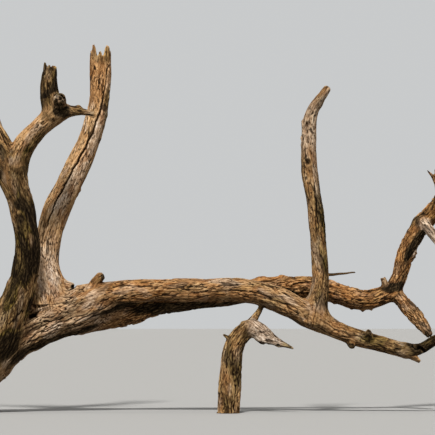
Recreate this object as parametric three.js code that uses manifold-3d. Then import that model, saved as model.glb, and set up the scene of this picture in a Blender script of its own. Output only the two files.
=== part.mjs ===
import * as THREE from 'three';
import { mergeVertices } from 'three/addons/utils/BufferGeometryUtils.js';
import Module from 'manifold-3d';

// A dead acacia, bare and weathered, rooted in the ground.
// Millimetres, +Z up. The origin is where the trunk's flat cut meets ground level.
// The trunk leans along +X and forks low. Two stems rise from it, two long limbs run on along +X,
// and a broken limb props the larger one up from the ground.

const wasm = await Module();
wasm.setup();

// Driving sizes
const SEAT_GAP = 0.35;
const RING_STEP = 100;
const FLUTES = 5;
const FLUTE_DEPTH = 0.035;
const FLUTE_TURNS = 0.35;
const SWELL_DEPTH = 0.03;
const SWELL_SPACING = 520;
const FLARE_LOBES = 5;
const FLARE_DEPTH = 0.26;
const FLARE_HEIGHT = 210;
const RIBS = 7;
const RIB_HEIGHT = 12;
const RIB_TURNS = 0.8;
const RIB_SPACING = 620;
const SWELLING_HEIGHT = 9;
const SWELLING_SPACING = 430;
const SWELLING_DRIFT = 700;
const RAGGED = 0.09;
const SOIL_BLOCK = 4000;

// Weathered wood, from the pale dry tops to the shaded stem
const PALE_WOOD = 0xa8917b;
const DRY_WOOD = 0x8f7356;
const SHADED_WOOD = 0x5f5038;
const RUSTY_WOOD = 0x855f40;
const DARK_WOOD = 0x4e4031;

// The rotted hollow at the fork where the main limb ends. Its long axis falls towards +X.
const FORK_HOLLOW = { centre: [5145, -22, 711], half: [92, 46, 30], tilt: -22 };

// Each limb grows on the one that it names. Its path has [x, y, z, radius] at each bend.
// A knot has [share of the length, degrees round from the front, height, width].
// A splinter on a broken end has [degrees round from the front, height, half width in degrees, how blunt].
const LIMBS = {
  trunk: {
    sides: 44, colour: DRY_WOOD, end: 'round', flare: true, ribs: true,
    path: [[15, 0, -105, 395], [25, 0, 160, 345], [135, 0, 380, 325], [310, 0, 580, 310],
      [500, 0, 745, 278], [745, 20, 905, 252], [1035, 60, 1035, 240], [1370, 90, 1130, 248],
      [1590, 105, 1185, 205], [1790, 125, 1200, 120]],
  },
  near_stem: {
    on: 'trunk', sides: 16, colour: SHADED_WOOD, end: 'round',
    path: [[290, -40, 540, 221], [525, -160, 835, 209], [675, -250, 1145, 178], [800, -330, 1470, 148],
      [845, -410, 1820, 138], [805, -470, 2175, 135], [730, -520, 2500, 139], [710, -540, 2760, 128]],
    knots: [[0.74, -20, 16, 90], [0.42, -90, 18, 50]],
  },
  far_stem: {
    on: 'trunk', sides: 26, colour: DRY_WOOD, end: 'broken',
    path: [[985, 100, 1155, 290], [990, 140, 1445, 223], [1000, 180, 1760, 143], [1085, 220, 2165, 148],
      [1260, 270, 2575, 142], [1435, 330, 2960, 129], [1555, 380, 3375, 115], [1590, 420, 3745, 117],
      [1590, 455, 3965, 122]],
    seam: { from: 0.34, to: 0.97, depth: 34, start: -14, finish: 50 },
    splinters: [[-75, 100, 40, 0.5], [-42, 158, 24, 0.5], [0, 78, 16, 0.4], [46, 140, 30, 0.5],
      [75, 98, 30, 0.5], [150, 60, 50], [-140, 50, 40]],
  },
  main_limb: {
    on: 'trunk', sides: 18, colour: DRY_WOOD, end: 'broken', step: 110,
    path: [[1435, 40, 1210, 178], [1745, -10, 1315, 139], [2170, -50, 1345, 120], [2725, -80, 1355, 125],
      [3210, -90, 1345, 128], [3610, -80, 1245, 135], [3995, -40, 1035, 120], [4385, 10, 855, 95],
      [4765, 40, 750, 87], [4985, 50, 685, 80], [5100, 50, 632, 56]],
    splinters: [[75, 92, 100, 0.6]],
    knots: [[0.32, -32, 15, 75]],
    hollows: [FORK_HOLLOW],
  },
  far_limb: {
    on: 'trunk', sides: 16, colour: RUSTY_WOOD, end: 'round', step: 110,
    path: [[1385, 140, 1045, 167], [1735, 220, 1080, 150], [2270, 260, 1215, 135], [2835, 280, 1295, 130],
      [3395, 300, 1360, 126], [3820, 330, 1400, 119], [4185, 380, 1345, 113], [4570, 440, 1250, 109],
      [4900, 500, 1335, 100]],
    knots: [[0.575, -100, 26, 85], [0.64, -80, 20, 60], [0.79, -95, 16, 50]],
  },
  inner_fork: {
    on: 'near_stem', sides: 14, colour: DRY_WOOD, end: 'round', step: 85,
    path: [[725, -540, 2695, 118], [825, -570, 2925, 117], [1000, -620, 3120, 107], [1185, -670, 3275, 114]],
  },
  outer_fork: {
    on: 'near_stem', sides: 12, colour: DRY_WOOD, end: 'broken',
    path: [[705, -540, 2650, 92], [605, -530, 2895, 87], [500, -500, 3115, 78], [430, -450, 3340, 68],
      [405, -420, 3520, 56]],
    splinters: [[-50, 70, 50], [120, 45, 60]],
  },
  outer_bough: {
    on: 'near_stem', sides: 12, colour: SHADED_WOOD, end: 'broken',
    path: [[715, -520, 2415, 98], [570, -520, 2645, 108], [370, -460, 2835, 94], [90, -340, 2985, 83],
      [-220, -160, 3080, 73], [-500, 20, 3080, 58]],
    splinters: [[-90, 80, 60], [60, 40, 50]],
  },
  inner_fork_top: {
    on: 'inner_fork', sides: 14, colour: SHADED_WOOD, end: 'broken', step: 60,
    path: [[1150, -670, 3230, 97], [1112, -700, 3400, 99], [1098, -740, 3570, 90], [1108, -775, 3735, 72]],
    splinters: [[-45, 64, 36], [2, 40, 26], [47, 16, 25], [150, 26, 50]],
    hollows: [{ centre: [1128, -850, 3513], half: [48, 52, 185], tilt: -22 }],
  },
  inner_fork_spur: {
    on: 'inner_fork', sides: 12, colour: SHADED_WOOD, end: 'broken', step: 50,
    path: [[1170, -670, 3295, 97], [1290, -680, 3280, 70], [1425, -660, 3278, 42], [1572, -620, 3260, 27]],
    splinters: [[-60, 14, 70], [100, 8, 50]],
    knots: [[0.6, -95, 26, 34]],
  },
  knuckle_boss: {
    on: 'inner_fork', sides: 12, colour: DARK_WOOD, end: 'broken', step: 40, faces: 'up',
    path: [[1200, -690, 3325, 72], [1214, -770, 3385, 70], [1220, -835, 3412, 62]],
    splinters: [[0, 30, 60], [-120, 22, 40], [130, 18, 50]],
    hollows: [{ centre: [1230, -858, 3420], half: [30, 46, 38], tilt: 0 }],
  },
  collar_stub: {
    on: 'far_stem', sides: 12, colour: DRY_WOOD, end: 'round', step: 50,
    path: [[1070, 120, 1415, 100], [1210, 80, 1402, 64], [1285, 62, 1392, 50]],
  },
  top_stub: {
    on: 'main_limb', sides: 12, colour: PALE_WOOD, end: 'round', step: 50,
    path: [[1500, 0, 1330, 62], [1560, -18, 1440, 52], [1618, -32, 1502, 52]],
  },
  upright_limb: {
    on: 'main_limb', sides: 14, colour: DRY_WOOD, end: 'round',
    path: [[3975, -40, 1000, 150], [4022, -50, 1210, 118], [4056, -60, 1465, 91], [4035, -80, 1840, 89],
      [4000, -100, 2260, 86], [3940, -120, 2635, 87], [3925, -130, 3035, 80], [3965, -150, 3325, 68],
      [4125, -180, 3575, 42]],
    knots: [[0.675, -10, 22, 58], [0.83, -70, 14, 45]],
  },
  dry_twig: {
    on: 'upright_limb', sides: 6, colour: DARK_WOOD, end: 'point', step: 60,
    path: [[4080, -40, 1520, 18], [4265, 0, 1535, 13], [4440, 30, 1550, 8]],
  },
  rising_limb: {
    on: 'far_limb', sides: 14, colour: RUSTY_WOOD, end: 'broken', step: 90,
    path: [[4870, 500, 1295, 105], [4975, 520, 1510, 88], [5058, 550, 1785, 94], [5206, 600, 2060, 104],
      [5385, 660, 2265, 98], [5500, 700, 2430, 94], [5465, 715, 2600, 74], [5410, 725, 2700, 62]],
    splinters: [[-80, 80, 45], [20, 40, 35], [110, 50, 50]],
    knots: [[0.33, 80, 18, 60], [0.55, -85, 16, 55]],
  },
  drop_limb: {
    on: 'far_limb', sides: 14, colour: RUSTY_WOOD, end: 'round', step: 60,
    path: [[4910, 500, 1350, 70], [5018, 460, 1218, 76], [5107, 420, 1118, 80], [5187, 370, 1016, 74],
      [5262, 330, 906, 57], [5290, 320, 866, 42]],
  },
  fork_stub: {
    on: 'far_limb', sides: 10, colour: DARK_WOOD, end: 'broken', step: 40,
    path: [[4800, 460, 1340, 60], [4806, 445, 1430, 40], [4782, 440, 1500, 30]],
    splinters: [[-60, 8, 60]],
  },
  pale_spur: {
    on: 'rising_limb', sides: 12, colour: PALE_WOOD, end: 'broken', step: 60,
    path: [[5240, 590, 2130, 74], [5285, 500, 2080, 62], [5360, 440, 1980, 52], [5445, 360, 1840, 43],
      [5500, 290, 1705, 32]],
    splinters: [[-40, 55, 60], [120, 30, 50]],
  },
  knot_stub: {
    on: 'main_limb', sides: 10, colour: DARK_WOOD, end: 'round', step: 40,
    path: [[4595, 0, 800, 50], [4588, -50, 872, 38], [4585, -70, 892, 30]],
  },
  under_stub: {
    on: 'main_limb', sides: 10, colour: DARK_WOOD, end: 'round', step: 40,
    path: [[4385, 0, 835, 60], [4400, -35, 755, 44], [4405, -45, 735, 36]],
  },
  end_fork: {
    on: 'main_limb', sides: 12, colour: DARK_WOOD, end: 'broken', step: 70,
    path: [[4985, 50, 690, 76], [5160, 20, 704, 64], [5325, -40, 800, 56], [5535, -130, 885, 51],
      [5735, -225, 935, 42]],
    splinters: [[-60, 60, 60], [100, 34, 60]],
    hollows: [FORK_HOLLOW],
  },
  prop_foot: {
    sides: 16, colour: DARK_WOOD, end: 'round',
    path: [[3030, -100, -75, 128], [3045, -100, 145, 120], [3070, -100, 495, 115], [3110, -100, 750, 108],
      [3245, -92, 930, 98]],
  },
  prop_neck: {
    on: 'main_limb', sides: 10, colour: SHADED_WOOD, end: 'round', step: 45,
    path: [[3415, -90, 1270, 40], [3390, -90, 1145, 27], [3325, -90, 1045, 40], [3290, -90, 990, 58]],
  },
  prop_shard: {
    on: 'prop_foot', sides: 14, colour: PALE_WOOD, end: 'point', step: 60,
    path: [[3270, -92, 980, 84], [3390, -125, 885, 91], [3540, -165, 800, 52], [3745, -220, 712, 12]],
    knots: [[0.42, 70, 26, 60], [0.72, 80, 16, 40]],
  },
  foot_spur: {
    on: 'prop_foot', sides: 8, colour: DARK_WOOD, end: 'point', step: 40,
    path: [[3110, -115, 765, 36], [3040, -130, 822, 24], [2985, -140, 862, 12]],
  },
};

// The centre line through a limb's bends, and the radius that goes with it.
function centreLine(path) {
  const bends = path.map(([x, y, z]) => new THREE.Vector3(x, y, z));
  const radii = path.map(([, , , radius]) => new THREE.Vector3(radius, 0, 0));
  const spine = new THREE.CatmullRomCurve3(bends, false, 'catmullrom');
  const girth = new THREE.CatmullRomCurve3(radii, false, 'catmullrom');
  return {
    length: spine.getLength(),
    at(share) {
      const t = spine.getUtoTmapping(share);
      return { centre: spine.getPoint(t), tangent: spine.getTangent(t), radius: girth.getPoint(t).x };
    },
  };
}

// Two directions across the limb. The first one looks to the front, or up on a limb that points forwards.
function crossAxes(tangent, faces) {
  const ahead = faces === 'up' ? new THREE.Vector3(0, 0, 1) : new THREE.Vector3(0, -1, 0);
  const front = ahead.addScaledVector(tangent, -ahead.dot(tangent)).normalize();
  return { front, side: new THREE.Vector3().crossVectors(tangent, front) };
}

// The angles of a ring. On a limb with a seam they crowd together at the seam.
function ringAngles(limb, share) {
  const seamAt = limb.seam ? THREE.MathUtils.degToRad(seamAngle(limb.seam, share)) : 0;
  const crowding = limb.seam ? 0.55 : 0;
  return Array.from({ length: limb.sides }, (_, side) => {
    const turn = (side / limb.sides) * 2 * Math.PI;
    return seamAt + turn - crowding * Math.sin(turn);
  });
}

// How far round from the front the seam lies, in degrees, at a share of the limb's length.
function seamAngle(seam, share) {
  const along = THREE.MathUtils.clamp((share - seam.from) / (seam.to - seam.from), 0, 1);
  return THREE.MathUtils.lerp(seam.start, seam.finish, along * along);
}

// The shortest way round between two angles, in radians.
function angleBetween(a, b) {
  return Math.abs(Math.atan2(Math.sin(a - b), Math.cos(a - b)));
}

// The limb's radius at an angle: long flutes, slow swells, knots, the seam, and the trunk's flare, ribs and
// swellings.
function formRadius(limb, station, share, angle, length, height) {
  const lean = limb.path[0][0] / 400;
  const flute = FLUTE_DEPTH * Math.sin(FLUTES * angle + FLUTE_TURNS * 2 * Math.PI * share + lean);
  const swell = SWELL_DEPTH * Math.sin((2 * Math.PI * share * length) / SWELL_SPACING + 2 * angle + lean);
  let radius = station.radius * (1 + flute + swell);
  for (const [place, degrees, rise, width] of limb.knots ?? []) {
    const away = (share - place) * length;
    const round = station.radius * angleBetween(angle, THREE.MathUtils.degToRad(degrees));
    radius += rise * Math.exp(-(away * away + round * round) / (width * width));
  }
  if (limb.seam && share > limb.seam.from && share < limb.seam.to) {
    const seamAt = THREE.MathUtils.degToRad(seamAngle(limb.seam, share));
    if (angleBetween(angle, seamAt) < 0.01) radius -= limb.seam.depth;
  }
  if (limb.flare) {
    const lobe = 0.55 + 0.45 * Math.cos(FLARE_LOBES * angle + 0.6);
    radius *= 1 + FLARE_DEPTH * lobe * Math.exp(-Math.max(height, 0) / FLARE_HEIGHT);
  }
  if (limb.ribs) {
    const rib = Math.sin(RIBS * angle + RIB_TURNS * 2 * Math.PI * share);
    radius += RIB_HEIGHT * rib * (0.7 + 0.3 * Math.sin((2 * Math.PI * share * length) / RIB_SPACING + 2 * angle));
    const wave = Math.sin((2 * Math.PI * share * length) / SWELLING_SPACING + 3 * angle + 1.3);
    radius += SWELLING_HEIGHT * wave * Math.sin(5 * angle - (2 * Math.PI * share * length) / SWELLING_DRIFT);
  }
  return radius;
}

// How far a broken end stands up at an angle: its splinters, and small teeth all round.
function splinterHeight(limb, angle, radius) {
  const teeth = 1 + Math.sin(7 * angle + limb.path[0][0]) * Math.sin(16 * angle + limb.path[0][2]);
  return RAGGED * radius * teeth + Math.max(0, ...(limb.splinters ?? []).map((splinter) => {
    const [degrees, rise, halfWidth, blunt = 0.3] = splinter;
    const away = angleBetween(angle, THREE.MathUtils.degToRad(degrees));
    const slope = (1 - away / THREE.MathUtils.degToRad(halfWidth)) / (1 - blunt);
    return rise * THREE.MathUtils.clamp(slope, 0, 1);
  }));
}

// Rings of points from root to tip, with the tip's own rings at the end, made larger by a margin.
function limbRings(limb, margin) {
  const line = centreLine(limb.path);
  const steps = Math.max(3, Math.round(line.length / (limb.step ?? RING_STEP)));
  const rings = [];
  const addRing = (share, scale, lift) => {
    const station = line.at(share);
    const { front, side } = crossAxes(station.tangent, limb.faces);
    rings.push(ringAngles(limb, share).map((angle) => {
      const radius = formRadius(limb, station, share, angle, line.length, station.centre.z) + margin;
      return station.centre.clone()
        .addScaledVector(front, Math.cos(angle) * radius * scale)
        .addScaledVector(side, Math.sin(angle) * radius * scale)
        .addScaledVector(station.tangent, lift(angle, radius));
    }));
  };
  for (let step = 0; step < steps; step += 1) addRing(step / steps, 1, () => (step === 0 ? -margin : 0));
  const root = line.at(0);
  const end = line.at(1);
  root.centre.addScaledVector(root.tangent, -margin);
  if (limb.end === 'round') {
    for (const slope of [0, 35, 65]) {
      const tilt = THREE.MathUtils.degToRad(slope);
      addRing(1, Math.cos(tilt), (_, radius) => Math.sin(tilt) * radius * 0.8);
    }
    end.centre.addScaledVector(end.tangent, (end.radius + margin) * 0.85);
  } else if (limb.end === 'broken') {
    const lift = 3 * margin;
    addRing(1, 1, (angle) => splinterHeight(limb, angle, end.radius) + lift);
    addRing(1, 0.6, (angle) => splinterHeight(limb, angle, end.radius) * 0.45 - end.radius * 0.12 + lift);
    end.centre.addScaledVector(end.tangent, lift - end.radius * 0.2);
  } else {
    addRing(1, 1, () => 0);
    end.centre.addScaledVector(end.tangent, end.radius * 1.5 + margin);
  }
  return { rings, root: root.centre, tip: end.centre };
}

// A closed solid through a limb's rings.
function limbSolid(limb, margin = 0) {
  const { rings, root, tip } = limbRings(limb, margin);
  const points = [root, ...rings.flat(), tip];
  const faces = [];
  const corner = (ring, side) => 1 + ring * limb.sides + (side % limb.sides);
  for (let side = 0; side < limb.sides; side += 1) {
    faces.push([0, corner(0, side + 1), corner(0, side)]);
    for (let ring = 0; ring + 1 < rings.length; ring += 1) {
      faces.push([corner(ring, side), corner(ring, side + 1), corner(ring + 1, side + 1)]);
      faces.push([corner(ring, side), corner(ring + 1, side + 1), corner(ring + 1, side)]);
    }
    faces.push([corner(rings.length - 1, side), corner(rings.length - 1, side + 1), points.length - 1]);
  }
  return solidFrom(points.flatMap((point) => point.toArray()), faces.flat());
}

function solidFrom(coordinates, corners) {
  return new wasm.Manifold(new wasm.Mesh({
    numProp: 3, vertProperties: new Float32Array(coordinates), triVerts: new Uint32Array(corners),
  }));
}

// A solid from a three.js geometry, with only its positions kept.
function solidFromGeometry(geometry) {
  geometry.deleteAttribute('normal');
  geometry.deleteAttribute('uv');
  const merged = mergeVertices(geometry, 1e-3);
  return solidFrom(merged.attributes.position.array, merged.index.array);
}

// A rotted hollow: a long round scoop, tilted about the Y axis.
function hollowSolid({ centre, half, tilt }) {
  const scoop = new THREE.SphereGeometry(1, 12, 8);
  scoop.scale(...half);
  scoop.rotateY(THREE.MathUtils.degToRad(-tilt));
  scoop.translate(centre[0], centre[1], centre[2]);
  return solidFromGeometry(scoop);
}

// The largest body of a cut solid. Loose scraps are dropped.
function largestBody(solid) {
  return solid.decompose().reduce((best, body) => (body.volume() > best.volume() ? body : best));
}

function groundBlock() {
  const block = new THREE.BoxGeometry(SOIL_BLOCK * 4, SOIL_BLOCK, SOIL_BLOCK);
  block.translate(SOIL_BLOCK, 0, -SOIL_BLOCK / 2);
  return solidFromGeometry(block);
}

function meshOf(name, solid, limb, origin) {
  const { vertProperties, triVerts } = solid.getMesh();
  const geometry = new THREE.BufferGeometry();
  geometry.setAttribute('position', new THREE.BufferAttribute(new Float32Array(vertProperties), 3));
  geometry.setIndex(new THREE.BufferAttribute(new Uint32Array(triVerts), 1));
  geometry.translate(-origin.x, -origin.y, -origin.z);
  geometry.computeVertexNormals();
  const material = new THREE.MeshStandardMaterial({ color: limb.colour, roughness: 0.9, metalness: 0 });
  const mesh = new THREE.Mesh(geometry, material);
  mesh.name = name;
  return mesh;
}

// Grows the tree limb by limb. Each limb is cut clear of all that stand before it,
// and hangs in the scene from the limb that it grows on.
function growTree() {
  const tree = new THREE.Group();
  const ground = groundBlock();
  const grown = [];
  for (const [name, limb] of Object.entries(LIMBS)) {
    let solid = limbSolid(limb).subtract(ground);
    for (const earlier of grown) solid = solid.subtract(earlier.swollen);
    for (const hollow of limb.hollows ?? []) solid = solid.subtract(hollowSolid(hollow));
    const carrier = grown.find((earlier) => earlier.name === limb.on);
    const origin = limb.on ? new THREE.Vector3(...limb.path[0]) : new THREE.Vector3();
    const mesh = meshOf(name, largestBody(solid), limb, origin);
    mesh.position.copy(origin).sub(carrier ? carrier.origin : new THREE.Vector3());
    (carrier ? carrier.mesh : tree).add(mesh);
    grown.push({ name, mesh, origin, swollen: limbSolid(limb, SEAT_GAP) });
  }
  return tree;
}

export default growTree();
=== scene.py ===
"""Dresses a dead, bare acacia in one weathered skin.

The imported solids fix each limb's place and size. Here the same limbs are traced again from their bends,
joined into one continuous surface that flows through every fork, and given the relief of wood that has
lost its bark: flutes, fissures along the grain, short drying checks, knots, rotted hollows and splinters.
The surface is then parted limb by limb, so that each piece stands for one solid.
"""

import logging
import math
from collections.abc import Callable, Sequence
from dataclasses import dataclass, field, fields, replace
from enum import Enum

import bpy
import numpy as np
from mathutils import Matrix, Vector


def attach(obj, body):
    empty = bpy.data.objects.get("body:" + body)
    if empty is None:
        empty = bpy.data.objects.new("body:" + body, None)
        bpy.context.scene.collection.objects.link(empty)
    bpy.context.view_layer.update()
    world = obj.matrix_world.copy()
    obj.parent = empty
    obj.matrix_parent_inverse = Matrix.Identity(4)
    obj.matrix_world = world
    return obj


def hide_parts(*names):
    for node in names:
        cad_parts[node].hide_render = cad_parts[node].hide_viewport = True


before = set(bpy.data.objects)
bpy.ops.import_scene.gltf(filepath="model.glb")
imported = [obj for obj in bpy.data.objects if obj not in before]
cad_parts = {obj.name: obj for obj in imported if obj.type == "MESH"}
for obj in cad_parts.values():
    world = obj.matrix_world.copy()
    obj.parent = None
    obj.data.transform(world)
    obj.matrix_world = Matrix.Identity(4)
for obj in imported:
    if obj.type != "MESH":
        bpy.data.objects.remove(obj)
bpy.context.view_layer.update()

LOG = logging.getLogger("acacia")

MM = 0.001
TAU = 2.0 * math.pi
# The least length that is divided by
TINY = 1e-6
Array = np.ndarray
Socket = bpy.types.NodeSocket
Place = tuple[float, float, float]
Row = tuple[float, float, float, float]
Lift = Array | float | Callable[[Array], Array]

BAKE_MAP = "OFBake"

SKIN_VOXEL = 0.0078
# The steps in metres along a limb's traced line and along the tube that its skin starts from
STATION_STEP = 0.02
TUBE_STEP = 0.03
TUBE_SIDES = 44
# The most rounds in which a limb's stray faces go to its neighbours
LABEL_ROUNDS = 12

# The broad form, by the same rule as the solids. The depths of flutes, swells and flare are shares of the
# radius, heights and spacings are in metres, FLUTE_TURNS and RIB_TURNS are turns over the limb's length,
# and FLARE_TURN and SWELLING_TURN are in radians
FLUTES = 5
FLUTE_DEPTH = 0.035
FLUTE_TURNS = 0.35
SWELL_DEPTH = 0.03
SWELL_SPACING = 0.520
SWELL_TWIST = 2
FLARE_LOBES = 5
FLARE_DEPTH = 0.26
FLARE_HEIGHT = 0.210
FLARE_TURN = 0.6
RIBS = 7
RIB_HEIGHT = 0.012
RIB_TURNS = 0.8
RIB_SPACING = 0.620
RIB_TWIST = 2
SWELLING_HEIGHT = 0.009
SWELLING_SPACING = 0.430
SWELLING_DRIFT = 0.700
SWELLING_LOBES = 3
SWELLING_CROSS = 5
SWELLING_TURN = 1.3
# The mean and the range of the flare's lobes, and of the ribs' height along the trunk
LOBE_MEAN = 0.55
LOBE_RANGE = 0.45
RIB_MEAN = 0.7
RIB_RANGE = 0.3
# The limbs' flutes start apart: one radian for this many mm along X
PHASE_LENGTH = 400.0


def hex_to_linear(code: str) -> tuple[float, float, float, float]:
    """Turns an sRGB hex colour into linear light.

    Args:
        code: Six hex digits after a hash sign.

    Returns:
        Red, green, blue and an alpha of 1.
    """
    parts = [int(code[place:place + 2], 16) / 255 for place in (1, 3, 5)]
    linear = [part / 12.92 if part <= 0.04045 else ((part + 0.055) / 1.055) ** 2.4 for part in parts]
    return linear[0], linear[1], linear[2], 1.0


def add_node(tree: bpy.types.NodeTree, kind: str, settings: dict | None = None,
             inputs: dict | None = None) -> bpy.types.Node:
    """Adds one shader node with its settings and links.

    Args:
        tree: The tree that the node goes into.
        kind: The node's type name.
        settings: Values of the node's own properties.
        inputs: Sockets by name or number: an output socket is linked, anything else is set.

    Returns:
        The new node.
    """
    node = tree.nodes.new(kind)
    for name, value in (settings or {}).items():
        setattr(node, name, value)
    for name, value in (inputs or {}).items():
        if isinstance(value, bpy.types.NodeSocket):
            tree.links.new(value, node.inputs[name])
        else:
            node.inputs[name].default_value = value
    return node


@dataclass(frozen=True)
class Pattern:
    """A random field, the same on every run: its cells for a metre along the grain and across it."""

    along: float
    across: float
    seed: int

    EDGES = np.array([(1, 1, 0), (-1, 1, 0), (1, -1, 0), (-1, -1, 0), (1, 0, 1), (-1, 0, 1),
                      (1, 0, -1), (-1, 0, -1), (0, 1, 1), (0, -1, 1), (0, 1, -1), (0, -1, -1)], np.float32)
    # Brings the waves to a height of about 1
    GAIN = 1.4
    # In cells, further than the nearest middle can be
    FAR = 9.0

    def scaled(self, points: Array) -> Array:
        """Turns places in metres into places in cells."""
        return points * np.array([self.along, self.across, self.across])

    def scramble(self, cells: Array) -> Array:
        """Gives each cell of the field its own random whole number.

        Args:
            cells: Whole-number grid places, one row of three each.

        Returns:
            One unsigned number for each row.
        """
        mixed = (cells[:, 0].astype(np.uint32) * np.uint32(374761393)
                 + cells[:, 1].astype(np.uint32) * np.uint32(668265263)
                 + cells[:, 2].astype(np.uint32) * np.uint32(2246822519)
                 + np.uint32((self.seed * 3266489917) % 2**32))
        mixed = (mixed ^ (mixed >> np.uint32(15))) * np.uint32(2246822519)
        mixed = (mixed ^ (mixed >> np.uint32(13))) * np.uint32(3266489917)
        return mixed ^ (mixed >> np.uint32(16))

    def waves(self, points: Array) -> Array:
        """Reads the field as smooth waves, from about -1 to 1.

        Args:
            points: Places in metres.

        Returns:
            One value for each place.
        """
        places = self.scaled(points).astype(np.float32)
        floor = np.floor(places)
        local = places - floor
        cells = floor.astype(np.int64)
        ease = local * local * local * (local * (local * 6 - 15) + 10)
        total = np.zeros(len(points), np.float32)
        for corner in np.ndindex(2, 2, 2):
            offset = np.array(corner[::-1])
            slope = self.EDGES[self.scramble(cells + offset) % len(self.EDGES)]
            weight = np.where(offset > 0, ease, 1 - ease).prod(axis=1)
            total += weight * (slope * (local - offset)).sum(axis=1)
        return total * self.GAIN

    def cells(self, points: Array) -> tuple[Array, Array]:
        """Reads the field as cells with random middles.

        Args:
            points: Places in metres.

        Returns:
            How far each place is from its cell's edge, from 0 to about 1, and a random value of the cell.
        """
        places = self.scaled(points)
        grid = np.floor(places).astype(np.int64)
        nearest = np.full(len(points), self.FAR)
        second = np.full(len(points), self.FAR)
        mark = np.zeros(len(points))
        for step in np.ndindex(3, 3, 3):
            cell = grid + np.array(step) - 1
            code = self.scramble(cell)
            # Ten bits of the code for each axis place the cell's middle
            middle = cell + np.stack([(code >> shift & 1023) / 1023 for shift in (0, 10, 20)], axis=1)
            away = np.linalg.norm(middle - places, axis=1)
            closer = away < nearest
            second = np.where(closer, nearest, np.minimum(second, away))
            mark = np.where(closer, (code & 65535) / 65535, mark)
            nearest = np.minimum(nearest, away)
        return second - nearest, mark


def ramp(values: Array, low: float, high: float) -> Array:
    """Eases from 0 at low to 1 at high.

    Args:
        values: What is measured.
        low: The value that gives 0.
        high: The value that gives 1.

    Returns:
        A smooth share between 0 and 1.
    """
    share = np.clip((values - low) / (high - low), 0, 1)
    return share * share * (3 - 2 * share)


class End(Enum):
    """How a limb ends."""

    ROUND = "round"
    BROKEN = "broken"
    POINT = "point"


@dataclass(frozen=True)
class Knot:
    """A raised knot: share of the limb's length, degrees round from the front, height and width in mm.

    eye is how far a dark, sunken middle shows in it, from 0 to 1.
    """

    share: float
    degrees: float
    rise: float
    width: float
    eye: float = 0.0


@dataclass(frozen=True)
class Splinter:
    """A splinter that stands on a broken end: degrees round from the front, height in mm, half width.

    blunt is the share of its width that its top takes.
    """

    degrees: float
    rise: float
    half_width: float
    blunt: float = 0.3


@dataclass(frozen=True)
class Seam:
    """One long drying crack: where it starts and ends along the limb, its depth in mm and its drift."""

    begin: float
    finish: float
    depth: float
    first_degrees: float
    last_degrees: float

    def angle(self, share: Array) -> Array:
        """Says how far round from the front the crack lies, in radians.

        Args:
            share: Places along the limb, from 0 to 1.

        Returns:
            The crack's angle at each place.
        """
        along = np.clip((share - self.begin) / (self.finish - self.begin), 0, 1)
        degrees = self.first_degrees + (self.last_degrees - self.first_degrees) * along * along
        return np.radians(degrees)


@dataclass(frozen=True)
class Hollow:
    """A rotted scoop: an ellipsoid in mm, its long axis tilted about the Y axis."""

    centre: Place
    half: Place
    tilt: float = 0.0

    def depth_inside(self, points: Array) -> Array:
        """Says how far inside the scoop each place is.

        Args:
            points: Places in metres.

        Returns:
            Metres inside, negative outside.
        """
        offset = points - np.array(self.centre) * MM
        turn = math.radians(self.tilt)
        along = offset[:, 0] * math.cos(turn) + offset[:, 2] * math.sin(turn)
        across = -offset[:, 0] * math.sin(turn) + offset[:, 2] * math.cos(turn)
        half = np.array(self.half) * MM
        shape = np.stack([along, offset[:, 1], across], axis=1) / half
        return (1 - np.linalg.norm(shape, axis=1)) * half.min()


@dataclass(frozen=True)
class WoodTone:
    """The colours of one state of the wood, as sRGB hex: in its furrows, in the main and on its ridges.
    Where the ridge layer picks between them, the furrow colour is painted shade and the ridge colour
    painted light.
    """

    furrow: str
    body: str
    ridge: str


class Tone(Enum):
    """The states of the wood that the skin mixes. The first shows wherever the others don't. The shaded and
    the darkest states also carry painted shade.
    """

    DRY = WoodTone("#472e19", "#896642", "#ba966b")
    SILKY = WoodTone("#614326", "#9f7a51", "#c8a379")
    PALE = WoodTone("#6e5946", "#a58c75", "#d4c2ae")
    RUSTY = WoodTone("#38200f", "#80532c", "#bd8b57")
    # Painted shade: the dark olive brown of the stem that stands in shade, also laid in patches on other
    # limbs
    SHADED = WoodTone("#0a0703", "#30260f", "#78622f")
    # The dark of rot, also laid on as painted shade below the limbs, in clefts and in cast shadows
    ROTTED = WoodTone("#060402", "#1c140a", "#4a3b27")


@dataclass(frozen=True)
class StainAndShade:
    """A patch of the tree, in the shape of a hollow, where one state of the wood shows more. Some mark real
    stained wood and scars; many paint shade, and some dry ones lift that shade as painted light.
    """

    tone: Tone
    share: float
    centre: Place
    half: Place
    tilt: float = 0.0

    def depth(self, points: Array) -> Array:
        """Says how deep in the patch each place is, as a share of its least half width."""
        inside = Hollow(self.centre, self.half, self.tilt).depth_inside(points)
        return inside / (min(self.half) * MM)


@dataclass(frozen=True)
class WoodFinish:
    """How one kind of limb is finished.

    tones says how much of each state shows over the dry wood. The depths, in mm, are those of the slow
    lumps, of the long fissures, of the fine checks and of the bark plates. cover is the share of the wood
    that fissures and checks have opened, and bark the share that still carries plates.
    """

    name: str
    slot: str
    tones: dict[Tone, float]
    lump: float
    fissure: float
    check: float
    plate: float
    cover: float
    bark: float
    roughness: float


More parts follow.
